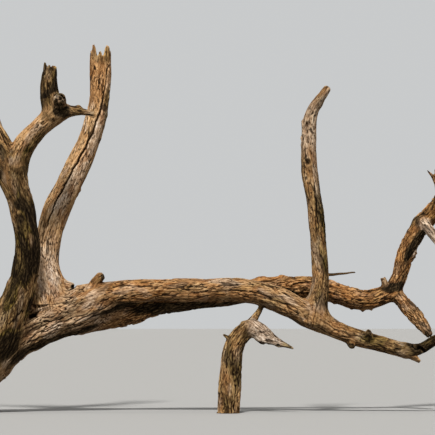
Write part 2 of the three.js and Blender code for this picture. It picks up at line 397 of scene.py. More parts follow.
class Finishes:
    """The finishes of the tree's limbs."""

    # Heartwood that weather has stripped and dried: tan, silky ridges between dark drying cracks
    DRY = WoodFinish("Acacia heartwood, weathered and dry", "dry_wood", tones={},
                     lump=6, fissure=15, check=8, plate=0, cover=0.52, bark=0.0, roughness=0.86)
    # The same wood on the bole, whose swellings belong to its form
    BOLE = replace(DRY, tones={Tone.PALE: 0.28}, lump=2, check=10, cover=0.6)
    # The same wood worn smooth, golden and only finely checked
    SILKY = replace(DRY, tones={Tone.SILKY: 0.9}, lump=5, fissure=7, check=6, cover=0.34)
    # The same wood on the stem that is half in shade, darkened a little by painted shade
    DULL = replace(DRY, tones={Tone.SHADED: 0.37}, lump=5, fissure=9, check=7, cover=0.38)
    # The same wood where it turns into the shade, half darkened by painted shade
    DIM = replace(DRY, tones={Tone.SHADED: 0.5})
    # The same wood where sun has bleached it to a greyish pink
    PALE = WoodFinish("Acacia heartwood, sun bleached", "pale_wood", tones={Tone.PALE: 0.75},
                      lump=5, fissure=10, check=6, plate=0, cover=0.4, bark=0.0, roughness=0.88)
    # The stem on the shaded side: olive brown and streaked, darkened by painted shade
    SHADED = WoodFinish("Acacia heartwood, shaded and tannin streaked", "shaded_wood",
                        tones={Tone.SHADED: 0.96},
                        lump=7, fissure=9, check=5, plate=4, cover=0.38, bark=0.3, roughness=0.84)
    # The same wood with less painted shade, on a tip and a neck that catch more light
    MOTTLED = replace(SHADED, tones={Tone.SHADED: 0.58}, fissure=12, check=6, cover=0.5)
    # The same wood on the spur beside the tip, a little darker with painted shade
    DAPPLED = replace(SHADED, tones={Tone.SHADED: 0.62}, fissure=12, check=7, cover=0.5)
    # Limbs that keep rusty remains of bark in plates
    RUSTY = WoodFinish("Acacia wood with rusty bark remains", "rusty_wood", tones={Tone.RUSTY: 0.7},
                       lump=8, fissure=14, check=8, plate=13, cover=0.55, bark=0.6, roughness=0.9)
    # The same bark where it hangs on in thick, ragged plates, with a little painted shade
    RAGGED = replace(RUSTY, tones={Tone.RUSTY: 0.65, Tone.SHADED: 0.15}, lump=11, plate=13, bark=0.8)
    # The same bark where it has split in small dry scales
    SCALY = replace(RUSTY, tones={Tone.RUSTY: 0.3, Tone.SILKY: 0.5}, lump=3, fissure=5, plate=18, bark=1.2)
    # Ends and stubs that rot has softened and stained, half darkened by painted shade
    ROTTED = WoodFinish("Acacia wood, rotted and stained", "dark_wood",
                        tones={Tone.SHADED: 0.5, Tone.RUSTY: 0.35, Tone.ROTTED: 0.25},
                        lump=6, fissure=13, check=7, plate=7, cover=0.5, bark=0.4, roughness=0.92)
    # The same wood broken into dark blotches, half darkened by painted shade
    BLOTCHED = replace(ROTTED, tones={Tone.SHADED: 0.47, Tone.RUSTY: 0.1}, lump=9, fissure=9, check=10)
    # The same wood on the knuckle's boss, which stands out in the sun: less painted shade, and some painted
    # light
    KNUCKLE = replace(ROTTED, tones={Tone.SHADED: 0.3, Tone.PALE: 0.2}, lump=6, fissure=12, check=12)


@dataclass
class Reading:
    """What a limb says about some places.

    share is how far along it they lie, from 0 to 1, and beyond how far past an end. smooth_radius is the
    radius without the limb's form, gap how far outside its surface they are, and outward the way out.
    """

    share: Array
    angle: Array
    distance: Array
    beyond: Array
    radius: Array
    smooth_radius: Array
    gap: Array
    outward: Array


@dataclass
class Limb:
    """One limb, traced by a smooth line through its bends, each [x, y, z, radius] in mm.

    carrier names the limb that it grows from, and fillet is the reach of the blend between the two as a
    share of its first radius. flared is for the trunk, and faces_up for a limb that points to the front.
    """

    name: str
    path: Sequence[Row]
    finish: WoodFinish
    end: End
    carrier: str = ""
    flared: bool = False
    faces_up: bool = False
    seam: Seam | None = None
    splinters: Sequence[Splinter] = ()
    knots: Sequence[Knot] = ()
    hollows: Sequence[Hollow] = ()
    stains: Sequence[StainAndShade] = ()
    fillet: float = 0.6
    length: float = field(init=False)
    centre: Array = field(init=False)
    tangent: Array = field(init=False)
    front: Array = field(init=False)
    thickness: Array = field(init=False)

    # Steps of the fine trace that the even stations are read from, and the fewest stations and tube rings
    TRACE_STEPS = 400
    LEAST_STATIONS = 8
    LEAST_RINGS = 4
    # How far a broken rim's small teeth stand out, as a share of the tip's radius, and how many there are
    RAGGED = 0.09
    COARSE_TEETH = 7
    FINE_TEETH = 16
    # A round end's height as a share of its radius, and that share squared
    CAP = 0.8
    CAP_SQUARED = 0.64
    # A pointed end's length in radii, and how steeply a limb closes behind its root
    POINT_LENGTH = 1.5
    ROOT_SLOPE = 2.5
    # The tube's last rings: degrees up a round end, and on a broken one each ring's scale with the share of
    # the splinters' height that it keeps
    CAP_RINGS = (0, 25, 50, 72)
    BROKEN_RINGS = ((1.0, 1.0), (0.85, 0.85), (0.62, 0.3), (0.35, 0.06))
    # How high the tube's tip stands on a round end and how deep it lies in a broken one, in radii
    CAP_TIP = 0.82
    DISH = 0.3

    def __post_init__(self) -> None:
        """Traces the centre line at even steps, with the directions across it."""
        rows = np.array(self.path, float) * MM
        spans = len(rows) - 1
        padded = np.vstack([2 * rows[0] - rows[1], rows, 2 * rows[-1] - rows[-2]])
        place = np.linspace(0, 1, self.TRACE_STEPS) * spans
        span = np.minimum(place.astype(int), spans - 1)
        part = (place - span)[:, None]
        before, start, finish, after = (padded[span + step] for step in range(4))
        traced = 0.5 * (2 * start + (finish - before) * part
                        + (2 * before - 5 * start + 4 * finish - after) * part**2
                        + (3 * start - before - 3 * finish + after) * part**3)
        steps = np.linalg.norm(np.diff(traced[:, :3], axis=0), axis=1)
        reach = np.concatenate([[0.0], np.cumsum(steps)])
        self.length = float(reach[-1])
        count = max(self.LEAST_STATIONS, round(self.length / STATION_STEP))
        stops = np.linspace(0, self.length, count + 1)
        columns = [np.interp(stops, reach, traced[:, column]) for column in range(4)]
        self.centre = np.stack(columns[:3], axis=1)
        self.thickness = columns[3]
        tangent = np.gradient(self.centre, axis=0)
        self.tangent = tangent / np.linalg.norm(tangent, axis=1)[:, None]
        ahead = np.array([0.0, 0.0, 1.0]) if self.faces_up else np.array([0.0, -1.0, 0.0])
        front = ahead - self.tangent * (self.tangent @ ahead)[:, None]
        self.front = front / np.linalg.norm(front, axis=1)[:, None]

    def form(self, share: Array, angle: Array, thickness: Array,
             height: Array) -> Array:
        """Gives the limb's radius: flutes, slow swells, knots, and the trunk's flare, ribs and swellings.

        Args:
            share: Places along the limb, from 0 to 1.
            angle: Radians round from the front.
            thickness: The plain radius there, in metres.
            height: Metres above the ground.

        Returns:
            The radius in metres.
        """
        lean = self.path[0][0] / PHASE_LENGTH
        flute = FLUTE_DEPTH * np.sin(FLUTES * angle + FLUTE_TURNS * TAU * share + lean)
        swell = SWELL_DEPTH * np.sin(TAU * share * self.length / SWELL_SPACING + SWELL_TWIST * angle + lean)
        radius = thickness * (1 + flute + swell)
        for knot in self.knots:
            away = (share - knot.share) * self.length
            turn = angle_between(angle, math.radians(knot.degrees)) * thickness
            bulge = np.exp(-(away**2 + turn**2) / (knot.width * MM) ** 2)
            radius = radius + knot.rise * MM * bulge
        if self.flared:
            lobe = LOBE_MEAN + LOBE_RANGE * np.cos(FLARE_LOBES * angle + FLARE_TURN)
            radius = radius * (1 + FLARE_DEPTH * lobe * np.exp(-np.maximum(height, 0) / FLARE_HEIGHT))
            rib = np.sin(RIBS * angle + RIB_TURNS * TAU * share)
            slow = np.sin(TAU * share * self.length / RIB_SPACING + RIB_TWIST * angle)
            radius = radius + RIB_HEIGHT * rib * (RIB_MEAN + RIB_RANGE * slow)
            wave = np.sin(TAU * share * self.length / SWELLING_SPACING
                          + SWELLING_LOBES * angle + SWELLING_TURN)
            cross = np.sin(SWELLING_CROSS * angle - TAU * share * self.length / SWELLING_DRIFT)
            radius = radius + SWELLING_HEIGHT * wave * cross
        return radius

    def splinter_height(self, angle: Array) -> Array:
        """Says how far a broken end stands up at an angle, in metres.

        Args:
            angle: Radians round from the front.

        Returns:
            The height at each angle.
        """
        height = np.zeros_like(angle)
        for splinter in self.splinters:
            away = angle_between(angle, math.radians(splinter.degrees))
            slope = (1 - away / math.radians(splinter.half_width)) / (1 - splinter.blunt)
            height = np.maximum(height, splinter.rise * MM * np.clip(slope, 0, 1))
        x, _, z, _ = self.path[0]
        ragged = np.sin(self.COARSE_TEETH * angle + x) * np.sin(self.FINE_TEETH * angle + z)
        return height + self.RAGGED * (1 + ragged) * self.thickness[-1]

    def locate(self, points: Array) -> Reading:
        """Finds where places lie on the limb.

        Args:
            points: Places in metres.

        Returns:
            The limb's own coordinates of the places, and how far outside its surface they are.
        """
        last = len(self.centre) - 1
        squared = (self.centre**2).sum(axis=1) - 2 * points @ self.centre.T
        nearest = squared.argmin(axis=1)
        best = np.full(len(points), np.inf)
        span = np.zeros(len(points), int)
        part = np.zeros(len(points))
        for shift in (-1, 0):
            first = np.clip(nearest + shift, 0, last - 1)
            start = self.centre[first]
            step = self.centre[first + 1] - start
            along = ((points - start) * step).sum(axis=1) / (step**2).sum(axis=1)
            lowest = np.where(first == 0, -np.inf, 0.0)
            highest = np.where(first == last - 1, np.inf, 1.0)
            along = np.clip(along, lowest, highest)
            away = np.linalg.norm(points - start - step * along[:, None], axis=1)
            closer = away < best
            best = np.where(closer, away, best)
            span = np.where(closer, first, span)
            part = np.where(closer, along, part)
        share = (span + part) / last
        inner = np.clip(part, 0, 1)[:, None]
        tangent = self.tangent[span] * (1 - inner) + self.tangent[span + 1] * inner
        tangent /= np.linalg.norm(tangent, axis=1)[:, None]
        front = self.front[span] * (1 - inner) + self.front[span + 1] * inner
        front -= tangent * (front * tangent).sum(axis=1)[:, None]
        front /= np.linalg.norm(front, axis=1)[:, None]
        side = np.cross(tangent, front)
        start = self.centre[span]
        foot = start + (self.centre[span + 1] - start) * part[:, None]
        offset = points - foot
        ahead = (offset * front).sum(axis=1)
        across = (offset * side).sum(axis=1)
        angle = np.arctan2(across, ahead)
        distance = np.hypot(ahead, across)
        clipped = np.clip(share, 0, 1)
        smooth = np.interp(clipped, np.linspace(0, 1, last + 1), self.thickness)
        radius = self.form(clipped, angle, smooth, points[:, 2])
        beyond = (share - clipped) * self.length
        outward = (front * ahead[:, None] + side * across[:, None]) / np.maximum(distance, TINY)[:, None]
        gap = distance - radius
        past = beyond > 0
        if self.end is End.ROUND:
            stretch = np.hypot(distance, beyond / self.CAP)
            gap = np.where(past, stretch - radius, gap)
            cap = outward * distance[:, None] + tangent * (beyond / self.CAP_SQUARED)[:, None]
            cap /= np.maximum(np.linalg.norm(cap, axis=1), TINY)[:, None]
            outward = np.where(past[:, None], cap, outward)
        elif self.end is End.POINT:
            gap = np.where(past, distance - radius + beyond / self.POINT_LENGTH, gap)
        else:
            gap = np.where(past, np.maximum(gap, beyond - self.splinter_height(angle)), gap)
        gap = np.where(beyond < 0, np.hypot(distance, self.ROOT_SLOPE * beyond) - radius, gap)
        return Reading(clipped, angle, distance, beyond, radius, smooth, gap, outward)

    def tube(self) -> tuple[Array, Array]:
        """Makes the closed tube that the skin starts from.

        Returns:
            Its points in metres and its triangles.
        """
        last = len(self.centre) - 1
        rings = []
        turn = np.arange(TUBE_SIDES) / TUBE_SIDES * TAU
        steps = max(self.LEAST_RINGS, round(self.length / TUBE_STEP))

        def ring(share: float, scale: float, lift: Lift) -> None:
            """Adds one ring.

            Args:
                share: Where it lies along the limb, from 0 to 1.
                scale: How far it is shrunk.
                lift: How far each of its points is moved along the limb, or a function of the radius.
            """
            place = share * last
            first = min(int(place), last - 1)
            part = place - first
            centre, tangent, front, thickness = (
                values[first] * (1 - part) + values[first + 1] * part
                for values in (self.centre, self.tangent, self.front, self.thickness))
            side = np.cross(tangent, front)
            radius = self.form(np.full(TUBE_SIDES, share), turn, np.full(TUBE_SIDES, thickness),
                               np.full(TUBE_SIDES, centre[2]))
            lifts = np.broadcast_to(lift(radius) if callable(lift) else lift, (TUBE_SIDES,))
            rings.append(centre + np.cos(turn)[:, None] * front * (radius * scale)[:, None]
                         + np.sin(turn)[:, None] * side * (radius * scale)[:, None]
                         + lifts[:, None] * tangent)

        for step in range(steps):
            ring(step / steps, 1.0, 0.0)
        tip_radius = self.thickness[-1]
        if self.end is End.ROUND:
            for slope in self.CAP_RINGS:
                tilt = math.radians(slope)
                ring(1.0, math.cos(tilt), lambda radius, tilt=tilt: math.sin(tilt) * radius * self.CAP)
            tip_lift = tip_radius * self.CAP_TIP
        elif self.end is End.BROKEN:
            rise = self.splinter_height(turn)
            for scale, keep in self.BROKEN_RINGS:
                ring(1.0, scale, rise * keep - tip_radius * self.DISH * (1 - scale * scale))
            tip_lift = -tip_radius * self.DISH
        else:
            ring(1.0, 1.0, 0.0)
            tip_lift = tip_radius * self.POINT_LENGTH
        root = self.centre[0]
        tip = self.centre[-1] + self.tangent[-1] * tip_lift
        points = np.vstack([root, *rings, tip])
        points[:, 2] = np.maximum(points[:, 2], 0)
        return points, tube_faces(len(rings), TUBE_SIDES)


def angle_between(angles: Array, other: float | Array) -> Array:
    """Gives the shortest way round from some angles to another, in radians.

    Args:
        angles: The angles.
        other: The angle or angles that they are set against.

    Returns:
        Positive angles of at most half a turn.
    """
    return np.abs(np.arctan2(np.sin(angles - other), np.cos(angles - other)))


def tube_faces(rings: int, sides: int) -> Array:
    """Lists the triangles of a tube whose points run root, rings, tip.

    Args:
        rings: How many rings there are.
        sides: Points in a ring.

    Returns:
        Rows of three point numbers, facing out.
    """
    side = np.arange(sides)
    after = (side + 1) % sides
    faces = [np.stack([np.zeros(sides, int), 1 + after, 1 + side], axis=1)]
    for ring in range(rings - 1):
        low, high = 1 + ring * sides, 1 + (ring + 1) * sides
        faces.append(np.stack([low + side, low + after, high + after], axis=1))
        faces.append(np.stack([low + side, high + after, high + side], axis=1))
    top, tip = 1 + (rings - 1) * sides, 1 + rings * sides
    faces.append(np.stack([top + side, top + after, np.full(sides, tip)], axis=1))
    return np.vstack(faces)


def traced(*facts: object, **more: object) -> Limb:
    """Gives a dataclass field that traces its limb when the sub-assembly is made.

    Args:
        facts: The limb's name, path, finish, end and carrier.
        more: Whatever else sets the limb apart, by name.

    Returns:
        The field.
    """
    return field(default_factory=lambda: Limb(*facts, **more))


class SubAssembly:
    """Limbs that are held together as the fields of one dataclass."""

    def limbs(self) -> list[Limb]:
        """Lists the limbs in the order of their fields."""
        return [getattr(self, entry.name) for entry in fields(self)]


# The main limb's end and the fork that goes on from it share this hollow
FORK_HOLLOW = Hollow((5145, -22, 711), (92, 46, 30), -22)


@dataclass
class Trunk(SubAssembly):
    """The leaning trunk, from its flat cut at ground level to its low fork."""

    bole: Limb = traced(
        "trunk", [(15, 0, -105, 395), (25, 0, 160, 345), (135, 0, 380, 325), (310, 0, 580, 310),
                  (500, 0, 745, 278), (745, 20, 905, 252), (1035, 60, 1035, 240), (1370, 90, 1130, 248),
                  (1590, 105, 1185, 205), (1790, 125, 1200, 120)],
        Finishes.BOLE, End.ROUND, flared=True, hollows=[Hollow((893, -198, 1077), (46, 40, 17), 34)],
        # The patches are painted shade: along the bole's lower edge, below it by the near stem's foot, and
        # in the cleft where the two long limbs leave it
        stains=[StainAndShade(Tone.ROTTED, 1.4, (1150, -40, 808), (520, 260, 42), 20),
                StainAndShade(Tone.ROTTED, 1.2, (740, -200, 622), (120, 220, 62), 42),
                StainAndShade(Tone.ROTTED, 1.6, (1730, 110, 1135), (430, 260, 44), 19)])


@dataclass
class NearStem(SubAssembly):
    """The shaded stem in front, with its forks, its broken top and the knuckle between them."""

    stem: Limb = traced(
        "near_stem", [(290, -40, 540, 221), (525, -160, 835, 209), (675, -250, 1145, 178),
                      (800, -330, 1470, 148), (845, -410, 1820, 138), (805, -470, 2175, 135),
                      (730, -520, 2500, 139), (710, -540, 2760, 128)],
        Finishes.SHADED, End.ROUND, "trunk", fillet=0.4,
        knots=[Knot(0.74, -20, 16, 90, 0.5), Knot(0.42, -90, 18, 50)],
        # Apart from the pale torn scar at the crotch, these patches are painted light and shade on a stem
        # that stands in shade: the rotted and shaded ones darken it, most down its right side and at its
        # foot, and the dry ones lift it where light falls
        stains=[StainAndShade(Tone.ROTTED, 1.0, (760, -600, 2270), (110, 120, 85)),
                StainAndShade(Tone.ROTTED, 1.1, (945, -470, 1800), (80, 200, 480)),
                StainAndShade(Tone.ROTTED, 0.6, (760, -300, 1180), (330, 200, 70), 62),
                StainAndShade(Tone.ROTTED, 0.45, (560, -250, 680), (220, 240, 150)),
                StainAndShade(Tone.DRY, 0.45, (560, -330, 1160), (330, 200, 75), 64),
                StainAndShade(Tone.DRY, 0.2, (775, -480, 1900), (65, 200, 420)),
                StainAndShade(Tone.SHADED, 0.5, (800, -560, 2040), (130, 220, 260)),
                StainAndShade(Tone.ROTTED, 0.6, (795, -560, 2060), (95, 220, 210)),
                StainAndShade(Tone.SHADED, 0.4, (640, -320, 1130), (330, 240, 160), 62),
                StainAndShade(Tone.DRY, 0.5, (730, -600, 2640), (190, 220, 230)),
                StainAndShade(Tone.DRY, 0.55, (835, -560, 2390), (60, 220, 190)),
                StainAndShade(Tone.ROTTED, 0.9, (560, -560, 2650), (95, 260, 140)),
                StainAndShade(Tone.PALE, 0.8, (688, -650, 2743), (42, 90, 62))])
    inner_fork: Limb = traced(
        "inner_fork", [(725, -540, 2695, 118), (825, -570, 2925, 117), (1000, -620, 3120, 107),
                       (1185, -670, 3275, 114)],
        Finishes.SILKY, End.ROUND, "near_stem",
        # Painted shade: the shadow that the knuckle's boss casts, a shaded band along the middle, and the
        # stem's shade at the root
        stains=[StainAndShade(Tone.ROTTED, 1.8, (1246, -760, 3274), (120, 140, 88)),
                StainAndShade(Tone.SHADED, 0.7, (985, -600, 3010), (300, 160, 45), 45),
                StainAndShade(Tone.SHADED, 0.55, (770, -560, 2790), (150, 220, 150))])
    outer_fork: Limb = traced(
        "outer_fork", [(705, -540, 2650, 92), (605, -530, 2895, 87), (500, -500, 3115, 78),
                       (430, -450, 3340, 68), (405, -420, 3520, 56)],
        Finishes.DIM, End.BROKEN, "near_stem", splinters=[Splinter(-50, 70, 50), Splinter(120, 45, 60)])
    outer_bough: Limb = traced(
        "outer_bough", [(715, -520, 2415, 98), (570, -520, 2645, 108), (370, -460, 2835, 94),
                        (90, -340, 2985, 83), (-220, -160, 3080, 73), (-500, 20, 3080, 58)],
        Finishes.SHADED, End.BROKEN, "near_stem", splinters=[Splinter(-90, 80, 60), Splinter(60, 40, 50)])
    top: Limb = traced(
        "inner_fork_top", [(1150, -670, 3230, 97), (1112, -700, 3400, 99), (1098, -740, 3570, 90),
                           (1108, -775, 3735, 72)],
        Finishes.MOTTLED, End.BROKEN, "inner_fork",
        splinters=[Splinter(-45, 64, 36), Splinter(2, 40, 26), Splinter(47, 16, 25), Splinter(150, 26, 50)],
        hollows=[Hollow((1152, -850, 3555), (24, 36, 110), -18)],
        # Painted shade over the tip, darkest along its right edge and in a slanting band low on it; the dry
        # patch lifts its left side as painted light
        stains=[StainAndShade(Tone.SHADED, 0.3, (1090, -760, 3580), (170, 220, 260)),
                StainAndShade(Tone.DRY, 0.4, (1064, -800, 3590), (56, 160, 230), -4),
                StainAndShade(Tone.ROTTED, 1.2, (1184, -760, 3600), (30, 220, 190), -6),
                StainAndShade(Tone.ROTTED, 1.4, (1104, -790, 3474), (115, 220, 38), 36)])
    spur: Limb = traced(
        "inner_fork_spur", [(1170, -670, 3295, 97), (1290, -680, 3280, 70), (1425, -660, 3278, 42),
                            (1572, -620, 3260, 27)],
        Finishes.DAPPLED, End.BROKEN, "inner_fork", knots=[Knot(0.6, -95, 26, 34)],
        splinters=[Splinter(-60, 14, 70), Splinter(100, 8, 50)],
        # The pale patch lightens the tip; the shaded and rotted ones are painted shade, darkest along the
        # underside
        stains=[StainAndShade(Tone.PALE, 0.6, (1500, -640, 3270), (130, 90, 60)),
                StainAndShade(Tone.SHADED, 0.35, (1400, -660, 3285), (190, 120, 75)),
                StainAndShade(Tone.ROTTED, 1.1, (1470, -660, 3230), (150, 120, 14))])
    boss: Limb = traced(
        "knuckle_boss", [(1200, -690, 3325, 72), (1214, -770, 3385, 70), (1219, -820, 3406, 64)],
        Finishes.KNUCKLE, End.ROUND, "inner_fork", faces_up=True,
        hollows=[Hollow((1262, -862, 3414), (36, 42, 13), -38),
                 Hollow((1178, -862, 3358), (36, 38, 12), 75),
                 Hollow((1216, -850, 3334), (32, 36, 11), -12),
                 Hollow((1228, -880, 3398), (12, 32, 24), 30)],
        stains=[StainAndShade(Tone.PALE, 0.45, (1215, -860, 3395), (75, 60, 66))])


@dataclass
class FarStem(SubAssembly):
    """The tall stem behind, split by one long crack, with a splintered top."""

    stem: Limb = traced(
        "far_stem", [(985, 100, 1155, 290), (990, 140, 1445, 223), (1000, 180, 1760, 143),
                     (1085, 220, 2165, 148), (1260, 270, 2575, 142), (1435, 330, 2960, 129),
                     (1555, 380, 3375, 115), (1590, 420, 3745, 117), (1590, 455, 3965, 122)],
        Finishes.SILKY, End.BROKEN, "trunk", seam=Seam(0.295, 0.97, 34, -16, 50), fillet=0.3,
        knots=[Knot(0.489, 86, 20, 26), Knot(0.47, 84, 10, 40), Knot(0.885, 78, 14, 20),
               Knot(0.855, 80, 10, 24), Knot(0.79, 84, 9, 30), Knot(0.7, 88, 8, 26)],
        # The pale, dry and silky patches low down paint light where the near stem shades this stem; the dry
        # and rusty pair near the top darkens and warms its colour; the shaded ones darken its broken top
        # and, as painted shade, the right edge of its upper part
        stains=[StainAndShade(Tone.PALE, 0.55, (1010, 60, 1560), (190, 300, 480)),
                StainAndShade(Tone.DRY, 0.6, (1040, 120, 1975), (150, 300, 260)),
                StainAndShade(Tone.SILKY, 0.5, (1040, 120, 1900), (170, 300, 380)),
                StainAndShade(Tone.DRY, 0.6, (1575, 420, 3760), (280, 260, 420)),
                StainAndShade(Tone.RUSTY, 0.6, (1560, 420, 3760), (230, 260, 420)),
                StainAndShade(Tone.SHADED, 0.5, (1590, 330, 4020), (150, 200, 120)),
                StainAndShade(Tone.SHADED, 0.7, (1680, 340, 3480), (420, 220, 42), 84)],
        splinters=[Splinter(-75, 100, 40, 0.5), Splinter(-42, 158, 24, 0.5), Splinter(0, 78, 16, 0.4),
                   Splinter(46, 140, 30, 0.5), Splinter(75, 98, 30, 0.5), Splinter(150, 60, 50),
                   Splinter(-140, 50, 40)])
    collar: Limb = traced(
        "collar_stub", [(1070, 120, 1415, 100), (1210, 80, 1402, 64), (1285, 62, 1392, 50)],
        Finishes.SILKY, End.ROUND, "far_stem", hollows=[Hollow((1320, 22, 1392), (26, 40, 28))],
        stains=[StainAndShade(Tone.ROTTED, 0.8, (1318, 20, 1380), (44, 70, 40))])


@dataclass
class MainLimb(SubAssembly):
    """The long low limb in front, with its stubs, the upright limb on it and the fork at its end."""

    limb: Limb = traced(
        "main_limb", [(1435, 40, 1210, 178), (1745, -10, 1315, 139), (2170, -50, 1345, 120),
                      (2725, -80, 1355, 125), (3210, -90, 1345, 128), (3610, -80, 1245, 135),
                      (3995, -40, 1035, 120), (4385, 10, 855, 95), (4765, 40, 750, 87),
                      (4985, 50, 685, 80), (5100, 50, 632, 56)],
        Finishes.DRY, End.BROKEN, "trunk", splinters=[Splinter(75, 92, 100, 0.6)],
        knots=[Knot(0.32, -32, 15, 75)],
        hollows=[FORK_HOLLOW, Hollow((2625, -202, 1389), (30, 22, 13)),
                 Hollow((4905, -46, 706), (38, 16, 12), 18)],
        # The rotted patches are painted shade: below the limb, where the far limb lies in its shadow, in
        # the gap beside the upright, and in the hollow at the fork. The shaded one darkens the limb's end,
        # the rusty one warms its colour and the pale one is a bright scar
        stains=[StainAndShade(Tone.ROTTED, 1.9, (2640, 170, 1142), (860, 260, 84), 1),
                StainAndShade(Tone.ROTTED, 1.9, (3735, 200, 1330), (160, 170, 44), -28),
                StainAndShade(Tone.ROTTED, 1.2, (5140, -20, 705), (130, 120, 48), -20),
                StainAndShade(Tone.SHADED, 0.5, (4790, 0, 740), (450, 220, 140), -14),
                StainAndShade(Tone.RUSTY, 0.4, (2380, -60, 1350), (980, 260, 220)),
                StainAndShade(Tone.PALE, 0.9, (4962, -20, 745), (20, 60, 30), 60)])
    top_stub: Limb = traced(
        "top_stub", [(1500, 0, 1330, 62), (1560, -18, 1440, 52), (1618, -32, 1502, 52)],
        Finishes.PALE, End.ROUND, "main_limb",
        hollows=[Hollow((1668, -60, 1508), (18, 34, 20)), Hollow((1644, -84, 1530), (25, 36, 19), 35)],
        stains=[StainAndShade(Tone.DRY, 0.8, (1600, -40, 1480), (150, 140, 140)),
                StainAndShade(Tone.RUSTY, 0.7, (1580, -40, 1460), (110, 110, 110)),
                StainAndShade(Tone.SHADED, 0.35, (1600, -60, 1480), (90, 120, 80)),
                StainAndShade(Tone.ROTTED, 1.4, (1664, -60, 1502), (34, 110, 42), -20)])
    knot_stub: Limb = traced(
        "knot_stub", [(4595, 0, 800, 50), (4588, -50, 872, 38), (4585, -70, 892, 30)],
        Finishes.ROTTED, End.ROUND, "main_limb", hollows=[Hollow((4592, -98, 908), (20, 22, 16))],
        stains=[StainAndShade(Tone.PALE, 0.35, (4590, -80, 860), (75, 80, 50))])
    under_stub: Limb = traced(
        "under_stub", [(4385, 0, 835, 60), (4400, -35, 755, 44), (4405, -45, 735, 36)],
        Finishes.ROTTED, End.ROUND, "main_limb",
        stains=[StainAndShade(Tone.ROTTED, 1.2, (4400, -40, 735), (70, 90, 50))])
    upright: Limb = traced(
        "upright_limb", [(3975, -40, 1000, 150), (4022, -50, 1210, 118), (4056, -60, 1465, 91),
                         (4035, -80, 1840, 89), (4000, -100, 2260, 86), (3940, -120, 2635, 87),
                         (3925, -130, 3035, 80), (3965, -150, 3325, 68), (4125, -180, 3575, 42)],
        Finishes.DULL, End.ROUND, "main_limb", seam=Seam(0.40, 0.57, 22, 4, 16),
        knots=[Knot(0.675, -10, 22, 58, 0.9), Knot(0.83, -70, 14, 45), Knot(0.842, -88, 15, 18),
               Knot(0.775, -88, 13, 22), Knot(0.745, -84, 9, 24), Knot(0.93, 84, 8, 40)],
        hollows=[Hollow((3866, -180, 3222), (14, 34, 46)), Hollow((3905, -208, 3178), (14, 28, 38)),
                 Hollow((3852, -170, 3034), (12, 30, 42))],
        stains=[StainAndShade(Tone.DRY, 0.8, (3935, -140, 3130), (170, 240, 400)),
                StainAndShade(Tone.PALE, 0.5, (3935, -140, 3130), (170, 240, 380)),
                StainAndShade(Tone.SHADED, 0.35, (4035, -80, 1850), (140, 220, 380))])
    end_fork: Limb = traced(
        "end_fork", [(4985, 50, 690, 76), (5160, 20, 704, 64), (5325, -40, 800, 56), (5535, -130, 885, 51),
                     (5735, -225, 935, 42)],
        Finishes.ROTTED, End.BROKEN, "main_limb", splinters=[Splinter(-60, 60, 60), Splinter(100, 34, 60)],
        hollows=[FORK_HOLLOW],
        stains=[StainAndShade(Tone.SHADED, 0.3, (5350, -60, 800), (300, 200, 130), 24)])


